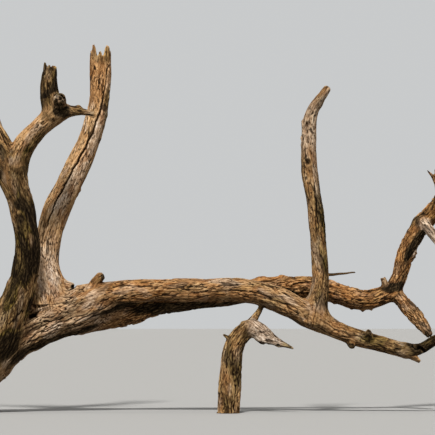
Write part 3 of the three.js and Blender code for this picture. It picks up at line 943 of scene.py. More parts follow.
@dataclass
class FarLimb(SubAssembly):
    """The long low limb behind, and what forks from its end."""

    limb: Limb = traced(
        "far_limb", [(1385, 140, 1045, 167), (1735, 220, 1080, 150), (2270, 260, 1215, 135),
                     (2835, 280, 1295, 130), (3395, 300, 1360, 126), (3820, 330, 1400, 119),
                     (4185, 380, 1345, 113), (4570, 440, 1250, 109), (4900, 500, 1335, 100)],
        Finishes.RUSTY, End.ROUND, "trunk",
        knots=[Knot(0.575, -100, 26, 85), Knot(0.64, -80, 20, 60), Knot(0.79, -95, 16, 50),
               Knot(0.902, 96, 26, 15), Knot(0.922, 92, 20, 13), Knot(0.872, 94, 16, 16),
               Knot(0.815, 90, 12, 18), Knot(0.845, -92, 12, 20)])
    rising: Limb = traced(
        "rising_limb", [(4870, 500, 1295, 105), (4975, 520, 1510, 88), (5058, 550, 1785, 94),
                        (5206, 600, 2060, 104), (5385, 660, 2265, 98), (5500, 700, 2430, 94),
                        (5465, 715, 2600, 74), (5410, 725, 2700, 62)],
        Finishes.RAGGED, End.BROKEN, "far_limb",
        splinters=[Splinter(-80, 80, 45), Splinter(20, 40, 35), Splinter(110, 50, 50)],
        knots=[Knot(0.33, 80, 18, 60), Knot(0.55, -85, 16, 55), Knot(0.318, 88, 16, 20),
               Knot(0.355, 84, 18, 18), Knot(0.4, -90, 14, 24), Knot(0.24, -92, 12, 26),
               Knot(0.47, -88, 12, 22)],
        # The rotted patches are painted shade: over its lower part, along its edges and where it meets the
        # far limb and the pale spur. The dry and pale pair is a white flake
        stains=[StainAndShade(Tone.ROTTED, 0.5, (4990, 520, 1560), (260, 240, 130), 76),
                StainAndShade(Tone.ROTTED, 1.4, (5176, 500, 1890), (230, 220, 54), 66),
                StainAndShade(Tone.ROTTED, 1.2, (5082, 500, 1765), (150, 220, 62), 66),
                StainAndShade(Tone.ROTTED, 0.8, (5192, 500, 2125), (34, 140, 110)),
                StainAndShade(Tone.ROTTED, 1.0, (5046, 560, 2030), (300, 240, 30), 58),
                StainAndShade(Tone.ROTTED, 1.3, (4895, 430, 1395), (120, 220, 74), 20),
                StainAndShade(Tone.DRY, 1.0, (5146, 480, 1773), (22, 200, 82), -22),
                StainAndShade(Tone.PALE, 1.4, (5146, 480, 1773), (22, 200, 82), -22)])
    drop: Limb = traced(
        "drop_limb", [(4910, 500, 1350, 70), (5018, 460, 1218, 76), (5107, 420, 1118, 80),
                      (5187, 370, 1016, 74), (5262, 330, 906, 57), (5290, 320, 866, 42)],
        Finishes.SCALY, End.ROUND, "far_limb",
        stains=[StainAndShade(Tone.ROTTED, 0.7, (5282, 310, 876), (70, 110, 48), -50)])
    fork_stub: Limb = traced(
        "fork_stub", [(4800, 460, 1340, 60), (4806, 445, 1430, 40), (4782, 440, 1500, 30)],
        Finishes.ROTTED, End.BROKEN, "far_limb", splinters=[Splinter(-60, 8, 60)])
    pale_spur: Limb = traced(
        "pale_spur", [(5240, 590, 2130, 74), (5285, 500, 2080, 62), (5360, 440, 1980, 52),
                      (5445, 360, 1840, 43), (5500, 290, 1705, 32)],
        Finishes.PALE, End.BROKEN, "rising_limb", splinters=[Splinter(-40, 55, 60), Splinter(120, 30, 50)],
        hollows=[Hollow((5263, 425, 2098), (18, 44, 15))],
        stains=[StainAndShade(Tone.DRY, 0.9, (5275, 460, 2125), (72, 130, 70)),
                StainAndShade(Tone.PALE, 0.55, (5275, 460, 2125), (72, 130, 70)),
                StainAndShade(Tone.PALE, 0.5, (5400, 400, 1900), (140, 160, 220))])


@dataclass
class Prop(SubAssembly):
    """The broken limb that stands on the ground and props the main limb."""

    foot: Limb = traced(
        "prop_foot", [(3030, -100, -75, 128), (3045, -100, 145, 120), (3070, -100, 495, 115),
                      (3110, -100, 750, 108), (3245, -92, 930, 98)],
        Finishes.BLOTCHED, End.ROUND)
    neck: Limb = traced(
        "prop_neck", [(3415, -90, 1270, 40), (3390, -90, 1145, 27), (3325, -90, 1045, 40),
                      (3290, -90, 990, 58)],
        Finishes.MOTTLED, End.ROUND, "main_limb")
    shard: Limb = traced(
        "prop_shard", [(3270, -92, 980, 84), (3390, -125, 885, 91), (3540, -165, 800, 52),
                       (3745, -220, 712, 12)],
        Finishes.PALE, End.POINT, "prop_foot", knots=[Knot(0.42, 70, 26, 60), Knot(0.72, 80, 16, 40)],
        hollows=[Hollow((3452, -150, 748), (24, 80, 22), -20),
                 Hollow((3582, -180, 744), (20, 60, 16), -20)],
        # The rotted patch is painted shade along the shard's lower edge; the others set its colour
        stains=[StainAndShade(Tone.DRY, 0.8, (3360, -130, 925), (120, 160, 120)),
                StainAndShade(Tone.PALE, 0.75, (3370, -130, 915), (140, 160, 130)),
                StainAndShade(Tone.SHADED, 0.8, (3680, -200, 735), (110, 90, 50), -20),
                StainAndShade(Tone.ROTTED, 1.0, (3500, -170, 742), (150, 120, 26), -18)])
    spur: Limb = traced(
        "foot_spur", [(3110, -115, 765, 36), (3040, -130, 822, 24), (2985, -140, 862, 12)],
        Finishes.ROTTED, End.POINT, "prop_foot")


@dataclass
class Twig:
    """The one dry twig, too thin for the skin's mesh, so it is a tube of its own."""

    twig: Limb = traced(
        "dry_twig", [(4080, -40, 1520, 18), (4265, 0, 1535, 13), (4440, 30, 1550, 8)],
        Finishes.ROTTED, End.POINT, "upright_limb")
    # How far it winds up and down in metres, and the two waves that it winds by, in radians for a metre
    wobble: float = 0.004
    long_wave: float = 11
    short_wave: float = 31
    # The radius of the round that its grain lies on, in metres, and how far each of its tones shows
    grain_radius: float = 0.02
    shown: float = 0.5

    def dress(self, material: bpy.types.Material) -> None:
        """Makes the twig, slightly crooked, and hangs it on the tree.

        Args:
            material: Its wood.
        """
        points, faces = self.twig.tube()
        x = points[:, 0]
        points[:, 2] += self.wobble * np.sin(x * self.short_wave) * np.sin(x * self.long_wave)
        mesh = bpy.data.meshes.new("wood_dry_twig")
        mesh.from_pydata(points.tolist(), [], faces.tolist())
        reading = self.twig.locate(points)
        along = reading.share * self.twig.length
        circle = np.stack([np.cos(reading.angle), np.sin(reading.angle)], axis=1)
        grain = np.column_stack([along, circle * self.grain_radius])
        for name in ("grain", "other_grain"):
            add_layer(mesh, name, grain)
        for name in ("ridge", Tone.SHADED.name.lower(), Tone.ROTTED.name.lower()):
            add_layer(mesh, name, np.full(len(points), self.shown))
        mesh.polygons.foreach_set("use_smooth", np.ones(len(mesh.polygons), bool))
        hang(self.twig, mesh, material)


@dataclass
class Skin:
    """The whole tree's surface: its points, faces, and what each point's limbs say of it."""

    limbs: list[Limb]
    voxel: float
    points: Array = field(init=False)
    faces: Array = field(init=False)
    owner: Array = field(init=False)
    weight: Array = field(init=False)
    gap: Array = field(init=False)
    outward: Array = field(init=False)
    first: dict[str, Array] = field(init=False)
    second: dict[str, Array] = field(init=False)

    # What is kept of the two nearest limbs' readings
    KEPT = ("share", "angle", "distance", "beyond", "radius", "smooth_radius", "gap")
    # Points within this many radii and metres of a limb's line are read against it
    NEAR = 1.35
    PAD = 0.16
    # The reach of a blend in metres: of strangers, of forks from one limb, and the least to a carrier
    PLAIN_FILLET = 0.012
    FORK_FILLET = 0.04
    LEAST_FILLET = 0.02
    # Rounds that draw the points onto the surface, the longest move in metres and the least squared slope
    DRAWS = 2
    LONGEST_MOVE = 0.03
    LEAST_SLOPE = 0.3
    # In shares of its radius, how much of a broken or pointed tip stays as the tube has it
    TIP = 0.35
    # Rounds of evening out, and how far a point goes in each towards its neighbours' middle
    EVENING = 2
    EVENING_SHARE = 0.5
    # Points below this height in metres stay on the ground
    ON_GROUND = 0.002

    def grow(self) -> None:
        """Joins the limbs' tubes in one even mesh and draws it onto the limbs' blended surface."""
        points, faces, count = [], [], 0
        for limb in self.limbs:
            tube_points, tube_triangles = limb.tube()
            points.append(tube_points)
            faces.append(tube_triangles + count)
            count += len(tube_points)
        self.points, self.faces = remeshed(np.vstack(points), np.vstack(faces), self.voxel)
        self.points, self.faces = largest_body(self.points, self.faces)
        LOG.info("skin: %d points, %d faces", len(self.points), len(self.faces))
        for _ in range(self.DRAWS):
            self.measure()
            slope = (self.outward**2).sum(axis=1)
            move = np.where(self.settled(), 0, self.gap / np.maximum(slope, self.LEAST_SLOPE))
            move = np.clip(move, -self.LONGEST_MOVE, self.LONGEST_MOVE)
            self.points -= self.outward * move[:, None]
            self.points[:, 2] = np.maximum(self.points[:, 2], 0)
        self.relax()
        self.measure()

    def settled(self) -> Array:
        """Marks the points on broken or pointed tips, which stay where the tubes put them.

        Returns:
            True for each point that stays.
        """
        still = np.zeros(len(self.points), bool)
        for index, limb in enumerate(self.limbs):
            if limb.end is End.ROUND:
                continue
            mine = self.owner[0] == index
            reading = self.first
            length = limb.length
            near_tip = reading["share"] * length > length - self.TIP * limb.thickness[-1]
            still |= mine & (near_tip | (reading["beyond"] > 0))
        return still

    def measure(self) -> None:
        """Reads, for each point, its two nearest limbs and the surface blended between them."""
        count = len(self.points)
        rows = [{name: np.full(count, np.inf if name == "gap" else 0.0) for name in self.KEPT}
                for _ in range(2)]
        ways = [np.zeros((count, 3)), np.zeros((count, 3))]
        owner = np.full((2, count), -1)
        for index, limb in enumerate(self.limbs):
            margin = limb.thickness.max() * self.NEAR
            low = limb.centre.min(axis=0) - margin - self.PAD
            high = limb.centre.max(axis=0) + margin + self.PAD
            near = np.flatnonzero(((self.points > low) & (self.points < high)).all(axis=1))
            if not len(near):
                continue
            reading = limb.locate(self.points[near])
            first = reading.gap < rows[0]["gap"][near]
            second = ~first & (reading.gap < rows[1]["gap"][near])
            shifted = near[first]
            for name in self.KEPT:
                rows[1][name][shifted] = rows[0][name][shifted]
                values = getattr(reading, name)
                rows[0][name][shifted] = values[first]
                rows[1][name][near[second]] = values[second]
            ways[1][shifted] = ways[0][shifted]
            ways[0][shifted] = reading.outward[first]
            ways[1][near[second]] = reading.outward[second]
            owner[1][shifted] = owner[0][shifted]
            owner[0][shifted] = index
            owner[1][near[second]] = index
        self.first, self.second, self.owner = rows[0], rows[1], owner
        reach = self.fillets(owner)
        apart = np.where(np.isfinite(rows[1]["gap"]), rows[1]["gap"] - rows[0]["gap"], 1.0)
        blend = np.clip(1 - apart / reach, 0, 1)
        self.weight = 0.5 * blend
        self.gap = rows[0]["gap"] - blend * blend * reach * 0.25
        self.outward = ways[0] * (1 - self.weight)[:, None] + ways[1] * self.weight[:, None]

    def fillets(self, owner: Array) -> Array:
        """Says over what gap a point's two limbs flow into each other, in metres.

        Args:
            owner: The numbers of each point's two nearest limbs.

        Returns:
            The blending reach at each point.
        """
        count = len(self.limbs)
        names = {limb.name: index for index, limb in enumerate(self.limbs)}
        table = np.full((count + 1, count + 1), self.PLAIN_FILLET)
        for index, limb in enumerate(self.limbs):
            for other, sibling in enumerate(self.limbs):
                if limb.carrier and limb.carrier == sibling.carrier:
                    table[index, other] = self.FORK_FILLET
            if limb.carrier in names:
                reach = max(self.LEAST_FILLET, limb.fillet * float(limb.thickness[0]))
                table[index, names[limb.carrier]] = table[names[limb.carrier], index] = reach
        # The two long limbs leave the trunk side by side and stay apart
        table[names["main_limb"], names["far_limb"]] = self.PLAIN_FILLET
        table[names["far_limb"], names["main_limb"]] = self.PLAIN_FILLET
        return table[owner[0], owner[1]]

    def edges(self) -> Array:
        """Lists the skin's edges, each once.

        Returns:
            Pairs of point numbers, the lower first.
        """
        return np.unique(face_sides(self.faces), axis=0)

    def relax(self) -> None:
        """Evens the skin out a little."""
        edges = self.edges()
        ground = self.points[:, 2] < self.ON_GROUND
        for _ in range(self.EVENING):
            middle = neighbour_mean(self.points, edges)
            moved = self.points + (middle - self.points) * self.EVENING_SHARE
            moved[ground, 2] = 0
            self.points = moved

    def normals(self) -> Array:
        """Gives each point's outward normal.

        Returns:
            One row of length 1 for each point.
        """
        corners = self.points[self.faces]
        across = np.cross(corners[:, 2] - corners[:, 0], corners[:, 3] - corners[:, 1])
        total = np.zeros_like(self.points)
        for side in range(4):
            for axis in range(3):
                total[:, axis] += np.bincount(self.faces[:, side], across[:, axis], len(self.points))
        return total / np.maximum(np.linalg.norm(total, axis=1), 1e-12)[:, None]


def face_sides(faces: Array) -> Array:
    """Lists the sides of four-sided faces.

    Args:
        faces: Four point numbers for each face.

    Returns:
        Pairs of point numbers, the lower first: every face's first side, then every second side, and so on.
    """
    sides = np.vstack([faces[:, [side, (side + 1) % 4]] for side in range(4)])
    sides.sort(axis=1)
    return sides


def neighbour_mean(values: Array, edges: Array) -> Array:
    """Averages a value over each point's neighbours.

    Args:
        values: One row for each point.
        edges: Pairs of joined points.

    Returns:
        The neighbours' mean, row by row.
    """
    count = len(values)
    ends = np.concatenate([edges[:, 0], edges[:, 1]])
    others = np.concatenate([edges[:, 1], edges[:, 0]])
    number = np.maximum(np.bincount(ends, minlength=count), 1)
    flat = values.reshape(count, -1)
    sums = np.stack([np.bincount(ends, flat[others, column], count) for column in range(flat.shape[1])], 1)
    return (sums / number[:, None]).reshape(values.shape)


def softened(values: Array, edges: Array, rounds: int) -> Array:
    """Moves each point's value halfway to its neighbours' mean, round after round.

    Args:
        values: One row for each point.
        edges: Pairs of joined points.
        rounds: How many times.

    Returns:
        The softened values.
    """
    for _ in range(rounds):
        values = 0.5 * values + 0.5 * neighbour_mean(values, edges)
    return values


def remeshed(points: Array, faces: Array, voxel: float) -> tuple[Array, Array]:
    """Joins overlapping closed tubes in one closed mesh of even squares.

    Args:
        points: The tubes' points in metres.
        faces: Their triangles.
        voxel: The squares' side in metres.

    Returns:
        The new mesh's points and its four-sided faces.
    """
    mesh = bpy.data.meshes.new("skin_start")
    mesh.from_pydata(points.tolist(), [], faces.tolist())
    start = bpy.data.objects.new("skin_start", mesh)
    bpy.context.scene.collection.objects.link(start)
    remesh = start.modifiers.new("even", "REMESH")
    remesh.mode = "VOXEL"
    remesh.voxel_size = voxel
    remesh.adaptivity = 0
    made = start.evaluated_get(bpy.context.evaluated_depsgraph_get()).to_mesh()
    new_points = np.empty(len(made.vertices) * 3, np.float32)
    made.vertices.foreach_get("co", new_points)
    new_faces = np.empty(len(made.loops), np.int32)
    made.loops.foreach_get("vertex_index", new_faces)
    start.to_mesh_clear()
    bpy.data.objects.remove(start)
    bpy.data.meshes.remove(mesh)
    return new_points.reshape(-1, 3).astype(float), new_faces.reshape(-1, 4).astype(np.int64)


def largest_body(points: Array, faces: Array) -> tuple[Array, Array]:
    """Drops crumbs: keeps the largest connected body of a mesh.

    Args:
        points: The mesh's points.
        faces: Its four-sided faces.

    Returns:
        The body's points and faces.
    """
    group = components(np.zeros(len(faces), int), neighbour_pairs(faces))
    roots, number = np.unique(group, return_counts=True)
    used, local = np.unique(faces[group == roots[number.argmax()]], return_inverse=True)
    return points[used], local.reshape(-1, 4)


@dataclass
class Weathering:
    """Cuts the wood's relief into the skin and works out where each state of the wood shows, and how far
    painted shade darkens its cracks.
    """

    skin: Skin
    places: list[Array] = field(init=False)
    crack: Array = field(init=False)
    rot: Array = field(init=False)
    ridge: Array = field(init=False)

    # The grain's turn round a limb in radians for a metre, and its start in metres on from the last limb's
    GRAIN_TURN = 0.5
    GRAIN_START = 7.3
    # Raised strands and long fissures lie about 60 mm apart, fine checks about 30 mm, and a bark plate is
    # about 33 mm by 130 mm
    LUMPS = Pattern(2.3, 6.5, 1)
    STRANDS = Pattern(1.5, 17.0, 14)
    FISSURES = Pattern(1.8, 14.0, 4)
    CHECKS = Pattern(8.0, 25.0, 6)
    NICKS = Pattern(11.0, 38.0, 10)
    FIBRES = Pattern(15.0, 70.0, 3)
    PLATES = Pattern(7.5, 30.0, 7)
    # Where fissures open, where checks open and where bark holds on
    PATCHES = Pattern(1.7, 6.0, 5)
    CLUSTERS = Pattern(3.4, 9.5, 13)
    BARK = Pattern(1.5, 5.0, 8)
    # What bends the relief's lines, and how far in metres
    SWAY = Pattern(5.0, 12.0, 2)
    SWIRL = Pattern(11.0, 25.0, 9)
    BENDS = (0.03, 0.016, 0.010)
    PLATE_BEND = 0.006
    # A limb of this radius in metres has relief of full depth, others between these shares of it
    FULL_RADIUS = 0.12
    SIZES = (0.3, 1.4)
    # How far a finish's cover widens what has opened
    COVER_GAIN = 0.9
    # How wide the lines of fissures and checks are, in heights of their waves
    FISSURE_WIDTH = 0.11
    CHECK_WIDTH = 0.15
    # Strands as a share of the fissures' depth, nicks as a share of the checks' and fibres in mm
    STRAND_SHARE = 0.4
    NICK_SHARE = 0.8
    FIBRE_HEIGHT = 1.8
    # What cracks take on average is added again, and bark plates rise and sink about their mean height
    MADE_UP = 0.3
    PLATE_MEAN = 0.45
    # How dark the painted shade is in checks, in nicks and below the rims of bark plates, next to that in a
    # long fissure
    CHECK_DARK = 0.6
    NICK_DARK = 0.9
    RIM_DARK = 0.45
    # How a long crack strays to both sides and how its width varies, with how far in metres
    STRAYS = ((0.012, Pattern(7.0, 1.0, 21)), (0.006, Pattern(21.0, 1.0, 22)))
    CRACK_WIDTH = 0.010
    WIDTH_RANGE = 0.005
    WIDTHS = Pattern(5.0, 1.0, 23)
    # A knot's eye: its radius as a share of the knot's width, and its depth in metres
    EYE_SHARE = 0.62
    EYE_DEPTH = 0.022
    # How rotted the middle of a broken end and the rim of a hollow are
    EDGE_ROT = 0.8
    # Steps that push the skin into a hollow, the share of the way in each, and rounds that soften the rot
    SCOOPS = 10
    SCOOP_SHARE = 0.8
    ROT_ROUNDS = 2
    # The least share of a second limb that counts, and the height in metres up to which points stay down
    LEAST_SHARE = 0.01
    ON_GROUND = 0.003
    # Rounds of smoothing that set apart what stands proud of its surroundings, and how far in metres
    PROUD_ROUNDS = 8
    PROUD_HEIGHT = 0.0032
    # Where the tones change: bleached patches are about 100 mm by 230 mm, rusty ones 75 mm by 170 mm and
    # gloomy ones, which paint dappled shade on the shaded wood, 125 mm by 310 mm
    BLEACH = Pattern(4.4, 10.0, 11)
    RUST = Pattern(6.0, 13.0, 12)
    GLOOM = Pattern(3.2, 8.0, 15)

    def grain(self, rows: dict, owner: Array) -> Array:
        """Straightens the limbs: along the grain, and across it on a round of the limb's own radius.

        Args:
            rows: The readings of each point on one limb.
            owner: That limb's number.

        Returns:
            Places in metres in which the grain always runs along the first axis.
        """
        lengths = np.array([limb.length for limb in self.skin.limbs])
        along = rows["share"] * lengths[owner] + rows["beyond"] + owner * self.GRAIN_START
        angle = rows["angle"] + self.GRAIN_TURN * along
        radius = np.minimum(rows["smooth_radius"], rows["distance"] * 1.3 + 0.005)
        return np.stack([along, np.cos(angle) * radius, np.sin(angle) * radius], axis=1)

    def relief(self, places: Array, rows: dict, owner: Array) -> tuple[Array, Array]:
        """Works out the relief along one limb's grain.

        Args:
            places: Places in the straightened limb.
            rows: The readings of each point on that limb.
            owner: The limb's number.

        Returns:
            How far the surface rises in metres, and how deep in a crack it is from 0 to 1, which sets the
            painted shade in the crack.
        """
        finishes = [limb.finish for limb in self.skin.limbs]
        lump, fissure, check, cover, plate, bark = (
            np.array([getattr(finish, name) for finish in finishes])[owner]
            for name in ("lump", "fissure", "check", "cover", "plate", "bark"))
        size = np.clip(rows["smooth_radius"] / self.FULL_RADIUS, *self.SIZES)
        sway = self.SWAY.waves(places)
        swirl = self.SWIRL.waves(places)
        moves = zip(self.BENDS, (swirl, sway, swirl))
        bent = places + np.stack([bend * wave for bend, wave in moves], axis=1)
        opened = self.COVER_GAIN * (cover - 0.5)
        split = ramp(self.PATCHES.waves(places) + opened, -0.22, 0.22)
        checked = ramp(self.CLUSTERS.waves(places) + opened, -0.2, 0.25)
        long_line = np.abs(self.FISSURES.waves(bent))
        fine_line = np.abs(self.CHECKS.waves(bent))
        nick = ramp(self.NICKS.waves(bent), 0.26, 0.5) * (0.3 + 0.7 * checked)
        height = size * lump * self.LUMPS.waves(places)
        height += size * self.STRAND_SHARE * fissure * self.STRANDS.waves(bent)
        height -= size * fissure * split * np.exp(-long_line / self.FISSURE_WIDTH)
        fine = checked * np.exp(-fine_line / self.CHECK_WIDTH) + self.NICK_SHARE * nick
        height -= np.sqrt(size) * check * fine
        height += self.FIBRE_HEIGHT * self.FIBRES.waves(places)
        height += self.MADE_UP * (size * fissure * split + check * checked)
        # How far painted shade darkens each point, in the fissures, the checks and the nicks
        crack = (1 - ramp(long_line, 0.02, 0.13)) * split
        crack = np.maximum(crack, self.CHECK_DARK * (1 - ramp(fine_line, 0.02, 0.12)) * checked)
        crack = np.maximum(crack, self.NICK_DARK * nick)
        plated = np.flatnonzero(plate > 0)
        if len(plated):
            edge, mark = self.PLATES.cells(bent[plated] + self.PLATE_BEND * swirl[plated, None])
            kept = ramp(self.BARK.waves(places[plated]) + bark[plated] - 0.5, -0.1, 0.2)
            rise = ramp(edge, 0.0, 0.3) * (0.25 + mark)
            height[plated] += size[plated] * kept * plate[plated] * (rise - self.PLATE_MEAN)
            # Painted shade below the raised rims of the bark plates
            rim = kept * (1 - ramp(edge, 0.0, 0.14)) * (0.4 + mark)
            crack[plated] = np.maximum(crack[plated], self.RIM_DARK * rim)
        return height * MM, crack

    def seam_cut(self, limb: Limb, index: int) -> tuple[Array, Array]:
        """Works out the one long crack of a limb that has one.

        Args:
            limb: The limb.
            index: Its number.

        Returns:
            The depth at each point in metres, and how far its painted shade shows from 0 to 1.
        """
        rows = self.skin.first
        seam = limb.seam
        mine = self.skin.owner[0] == index
        along = rows["share"] * limb.length
        strand = np.stack([along, 0 * along, 0 * along], axis=1)
        drift = sum(far * stray.waves(strand) for far, stray in self.STRAYS)
        width = self.CRACK_WIDTH + self.WIDTH_RANGE * self.WIDTHS.waves(strand)
        turned = rows["angle"] - seam.angle(rows["share"])
        away = np.arctan2(np.sin(turned), np.cos(turned)) * rows["smooth_radius"] - drift
        span = ramp(rows["share"], seam.begin - 0.03, seam.begin + 0.05) * (
            1 - ramp(rows["share"], seam.finish - 0.02, seam.finish + 0.03))
        shown = np.exp(-(away / width) ** 2) * span * mine
        return seam.depth * MM * shown, ramp(shown, 0.15, 0.6)

    def knot_eyes(self, limb: Limb, index: int) -> Array:
        """Says how far each point lies in the dark eye of one of a limb's knots.

        Args:
            limb: The limb.
            index: Its number.

        Returns:
            From 0 outside to 1 in the eye's middle.
        """
        rows = self.skin.first
        eye = np.zeros(len(self.skin.points))
        for knot in limb.knots:
            if knot.eye <= 0:
                continue
            away = (rows["share"] - knot.share) * limb.length
            turn = angle_between(rows["angle"], math.radians(knot.degrees)) * rows["smooth_radius"]
            spread = (knot.width * MM * self.EYE_SHARE) ** 2
            shown = np.exp(-((away**2 + turn**2) / spread) ** 2) * (self.skin.owner[0] == index)
            eye = np.maximum(eye, knot.eye * shown)
        return eye

    def carve(self) -> None:
        """Moves the skin's points by the relief, the long cracks and the hollows."""
        skin = self.skin
        self.rot = self.scoop()
        normal = skin.normals()
        self.places = [self.grain(skin.first, skin.owner[0]),
                       self.grain(skin.second, np.maximum(skin.owner[1], 0))]
        height, crack = self.relief(self.places[0], skin.first, skin.owner[0])
        shared = np.flatnonzero(skin.weight > self.LEAST_SHARE)
        rows = {name: values[shared] for name, values in skin.second.items()}
        other_height, other_crack = self.relief(self.places[1][shared], rows, skin.owner[1][shared])
        weight = skin.weight[shared]
        height[shared] = height[shared] * (1 - weight) + other_height * weight
        crack[shared] = crack[shared] * (1 - weight) + other_crack * weight
        for index, limb in enumerate(skin.limbs):
            if limb.seam:
                cut, shown = self.seam_cut(limb, index)
                height -= cut
                crack = np.maximum(crack, shown)
            eye = self.knot_eyes(limb, index)
            height -= self.EYE_DEPTH * eye
            self.rot = np.maximum(self.rot, eye)
            if limb.end is End.BROKEN:
                inner = 1 - ramp(skin.first["distance"] / skin.first["radius"], 0.6, 0.9)
                core = ramp(skin.first["beyond"], -0.01, 0.004) * inner
                self.rot = np.maximum(self.rot, self.EDGE_ROT * core * (skin.owner[0] == index))
        ground = skin.points[:, 2] < self.ON_GROUND
        skin.points += normal * height[:, None]
        skin.points[:, 2] = np.where(ground, 0, np.maximum(skin.points[:, 2], 0))
        self.crack = crack
        self.ridge = self.proud_share()

    def proud_share(self) -> Array:
        """Says how far each point stands out of its surroundings, by which the shader paints shade in
        furrows and light on ridges.

        Returns:
            From 0 in a furrow to 1 on a ridge.
        """
        skin = self.skin
        middle = softened(skin.points, skin.edges(), self.PROUD_ROUNDS)
        proud = ((skin.points - middle) * skin.normals()).sum(axis=1)
        return np.clip(0.5 + 0.5 * proud / self.PROUD_HEIGHT, 0, 1)

    def scoop(self) -> Array:
        """Pushes the skin into the rotted hollows.

        Returns:
            How rotted each point is, from 0 to 1.
        """
        skin = self.skin
        rot = np.zeros(len(skin.points))
        normal = skin.normals()
        for limb in skin.limbs:
            for hollow in limb.hollows:
                for _ in range(self.SCOOPS):
                    depth = hollow.depth_inside(skin.points)
                    inside = np.flatnonzero(depth > 0)
                    skin.points[inside] -= normal[inside] * (depth[inside] * self.SCOOP_SHARE)[:, None]
                    rot[inside] = 1.0
                rim = ramp(hollow.depth_inside(skin.points), -0.02, 0.0)
                rot = np.maximum(rot, self.EDGE_ROT * rim)
        return softened(rot, skin.edges(), self.ROT_ROUNDS)

    def tone_shares(self) -> dict[Tone, Array]:
        """Says how much of each state of the wood shows at each point, painted shade and light among them.

        Returns:
            A share from 0 to 1 for each tone but the dry one, which shows where the others don't.
        """
        skin = self.skin
        normal = skin.normals()
        shares = {}
        for tone in list(Tone)[1:]:
            table = np.array([limb.finish.tones.get(tone, 0.0) for limb in skin.limbs])
            shares[tone] = table[skin.owner[0]] * (1 - skin.weight) + table[skin.owner[1]] * skin.weight
        places = self.places[0]
        patch = self.BLEACH.waves(places)
        rust = self.RUST.waves(places)
        gloom = self.GLOOM.waves(places)
        bleach = ramp(normal[:, 2], 0.1, 0.9) * ramp(patch, -0.5, 0.3)
        bare = (1 - shares[Tone.PALE]) * (1 - 0.7 * shares[Tone.SHADED])
        shares[Tone.RUSTY] += 0.55 * ramp(rust, 0.1, 0.45) * bare
        shares[Tone.PALE] += 0.05 * bleach + 0.4 * ramp(patch, 0.08, 0.42) + 0.55 * self.strip_share()
        # Gloom paints dappled shade and light on the shaded wood, and lays patches of the olive brown on
        # the rest
        shares[Tone.ROTTED] += 0.95 * ramp(gloom, 0.0, 0.28) * np.clip(shares[Tone.SHADED], 0, 1)
        shares[Tone.SHADED] *= 1 - 0.55 * ramp(-gloom, 0.05, 0.35)
        shares[Tone.SHADED] += 0.35 * ramp(gloom, 0.1, 0.5) * (1 - shares[Tone.SILKY])
        # Painted shade below the limbs, darker the more the wood faces down, with the dark of rot
        under = ramp(-normal[:, 2], 0.0, 0.8)
        shares[Tone.ROTTED] += 0.6 * under + self.rot
        # Patches of stained wood and of painted shade; a dry patch takes the other tones away and so paints
        # light
        for stain_or_shade in (stain_or_shade for limb in skin.limbs for stain_or_shade in limb.stains):
            shown = stain_or_shade.share * ramp(stain_or_shade.depth(skin.points) + 0.4 * gloom, -0.1, 0.5)
            if stain_or_shade.tone is Tone.DRY:
                shares = {tone: share * (1 - shown) for tone, share in shares.items()}
            else:
                shares[stain_or_shade.tone] += shown
        return {tone: np.clip(share, 0, 1) for tone, share in shares.items()}

    def strip_share(self) -> Array:
        """Says how far each point lies in the bleached strip beside a long crack.

        Returns:
            From 0 outside to 1 in the strip.
        """
        rows = self.skin.first
        strip = np.zeros(len(self.skin.points))
        for index, limb in enumerate(self.skin.limbs):
            if limb.seam:
                turned = rows["angle"] - limb.seam.angle(rows["share"])
                away = np.arctan2(np.sin(turned), np.cos(turned))
                shown = ramp(away, 0.0, 0.12) * (1 - ramp(away, 0.7, 1.2))
                shown *= ramp(rows["share"], limb.seam.begin, limb.seam.begin + 0.1)
                strip = np.maximum(strip, shown * (self.skin.owner[0] == index))
        return strip


def components(labels: Array, pairs: Array) -> Array:
    """Groups faces that share a label and an edge.

    Args:
        labels: One label for each face.
        pairs: Pairs of faces that share an edge.

    Returns:
        The lowest face number of each face's group.
    """
    same = pairs[labels[pairs[:, 0]] == labels[pairs[:, 1]]]
    group = np.arange(len(labels))
    while True:
        before = group.copy()
        low = np.minimum(group[same[:, 0]], group[same[:, 1]])
        for side in range(2):
            np.minimum.at(group, before[same[:, side]], low)
            np.minimum.at(group, same[:, side], low)
        group = group[group]
        group = group[group]
        if (group == before).all():
            return group


def neighbour_pairs(faces: Array) -> Array:
    """Lists the pairs of faces that share an edge.

    Args:
        faces: Four-sided faces.

    Returns:
        Rows of two face numbers.
    """
    edges = face_sides(faces)
    face = np.tile(np.arange(len(faces)), 4)
    key = edges[:, 0] * (faces.max() + 1) + edges[:, 1]
    order = np.argsort(key, kind="stable")
    key, face = key[order], face[order]
    twin = np.flatnonzero(key[1:] == key[:-1])
    return np.stack([face[twin], face[twin + 1]], axis=1)


def tidy_labels(labels: Array, faces: Array) -> Array:
    """Gives each label one connected area: smaller areas go to a neighbour.

    Args:
        labels: One label for each face.
        faces: Four-sided faces.

    Returns:
        The labels, mended.
    """
    pairs = neighbour_pairs(faces)
    labels = labels.copy()
    for _ in range(LABEL_ROUNDS):
        group = components(labels, pairs)
        roots, number = np.unique(group, return_counts=True)
        size = np.zeros(len(labels), int)
        size[roots] = number
        largest = np.zeros(labels.max() + 1, int)
        np.maximum.at(largest, labels[roots], number)
        small = size[group] < largest[labels]
        if not small.any():
            break
        for one, other in ((0, 1), (1, 0)):
            swap = small[pairs[:, one]] & (labels[pairs[:, 0]] != labels[pairs[:, 1]])
            labels[pairs[swap, one]] = labels[pairs[swap, other]]
    return labels


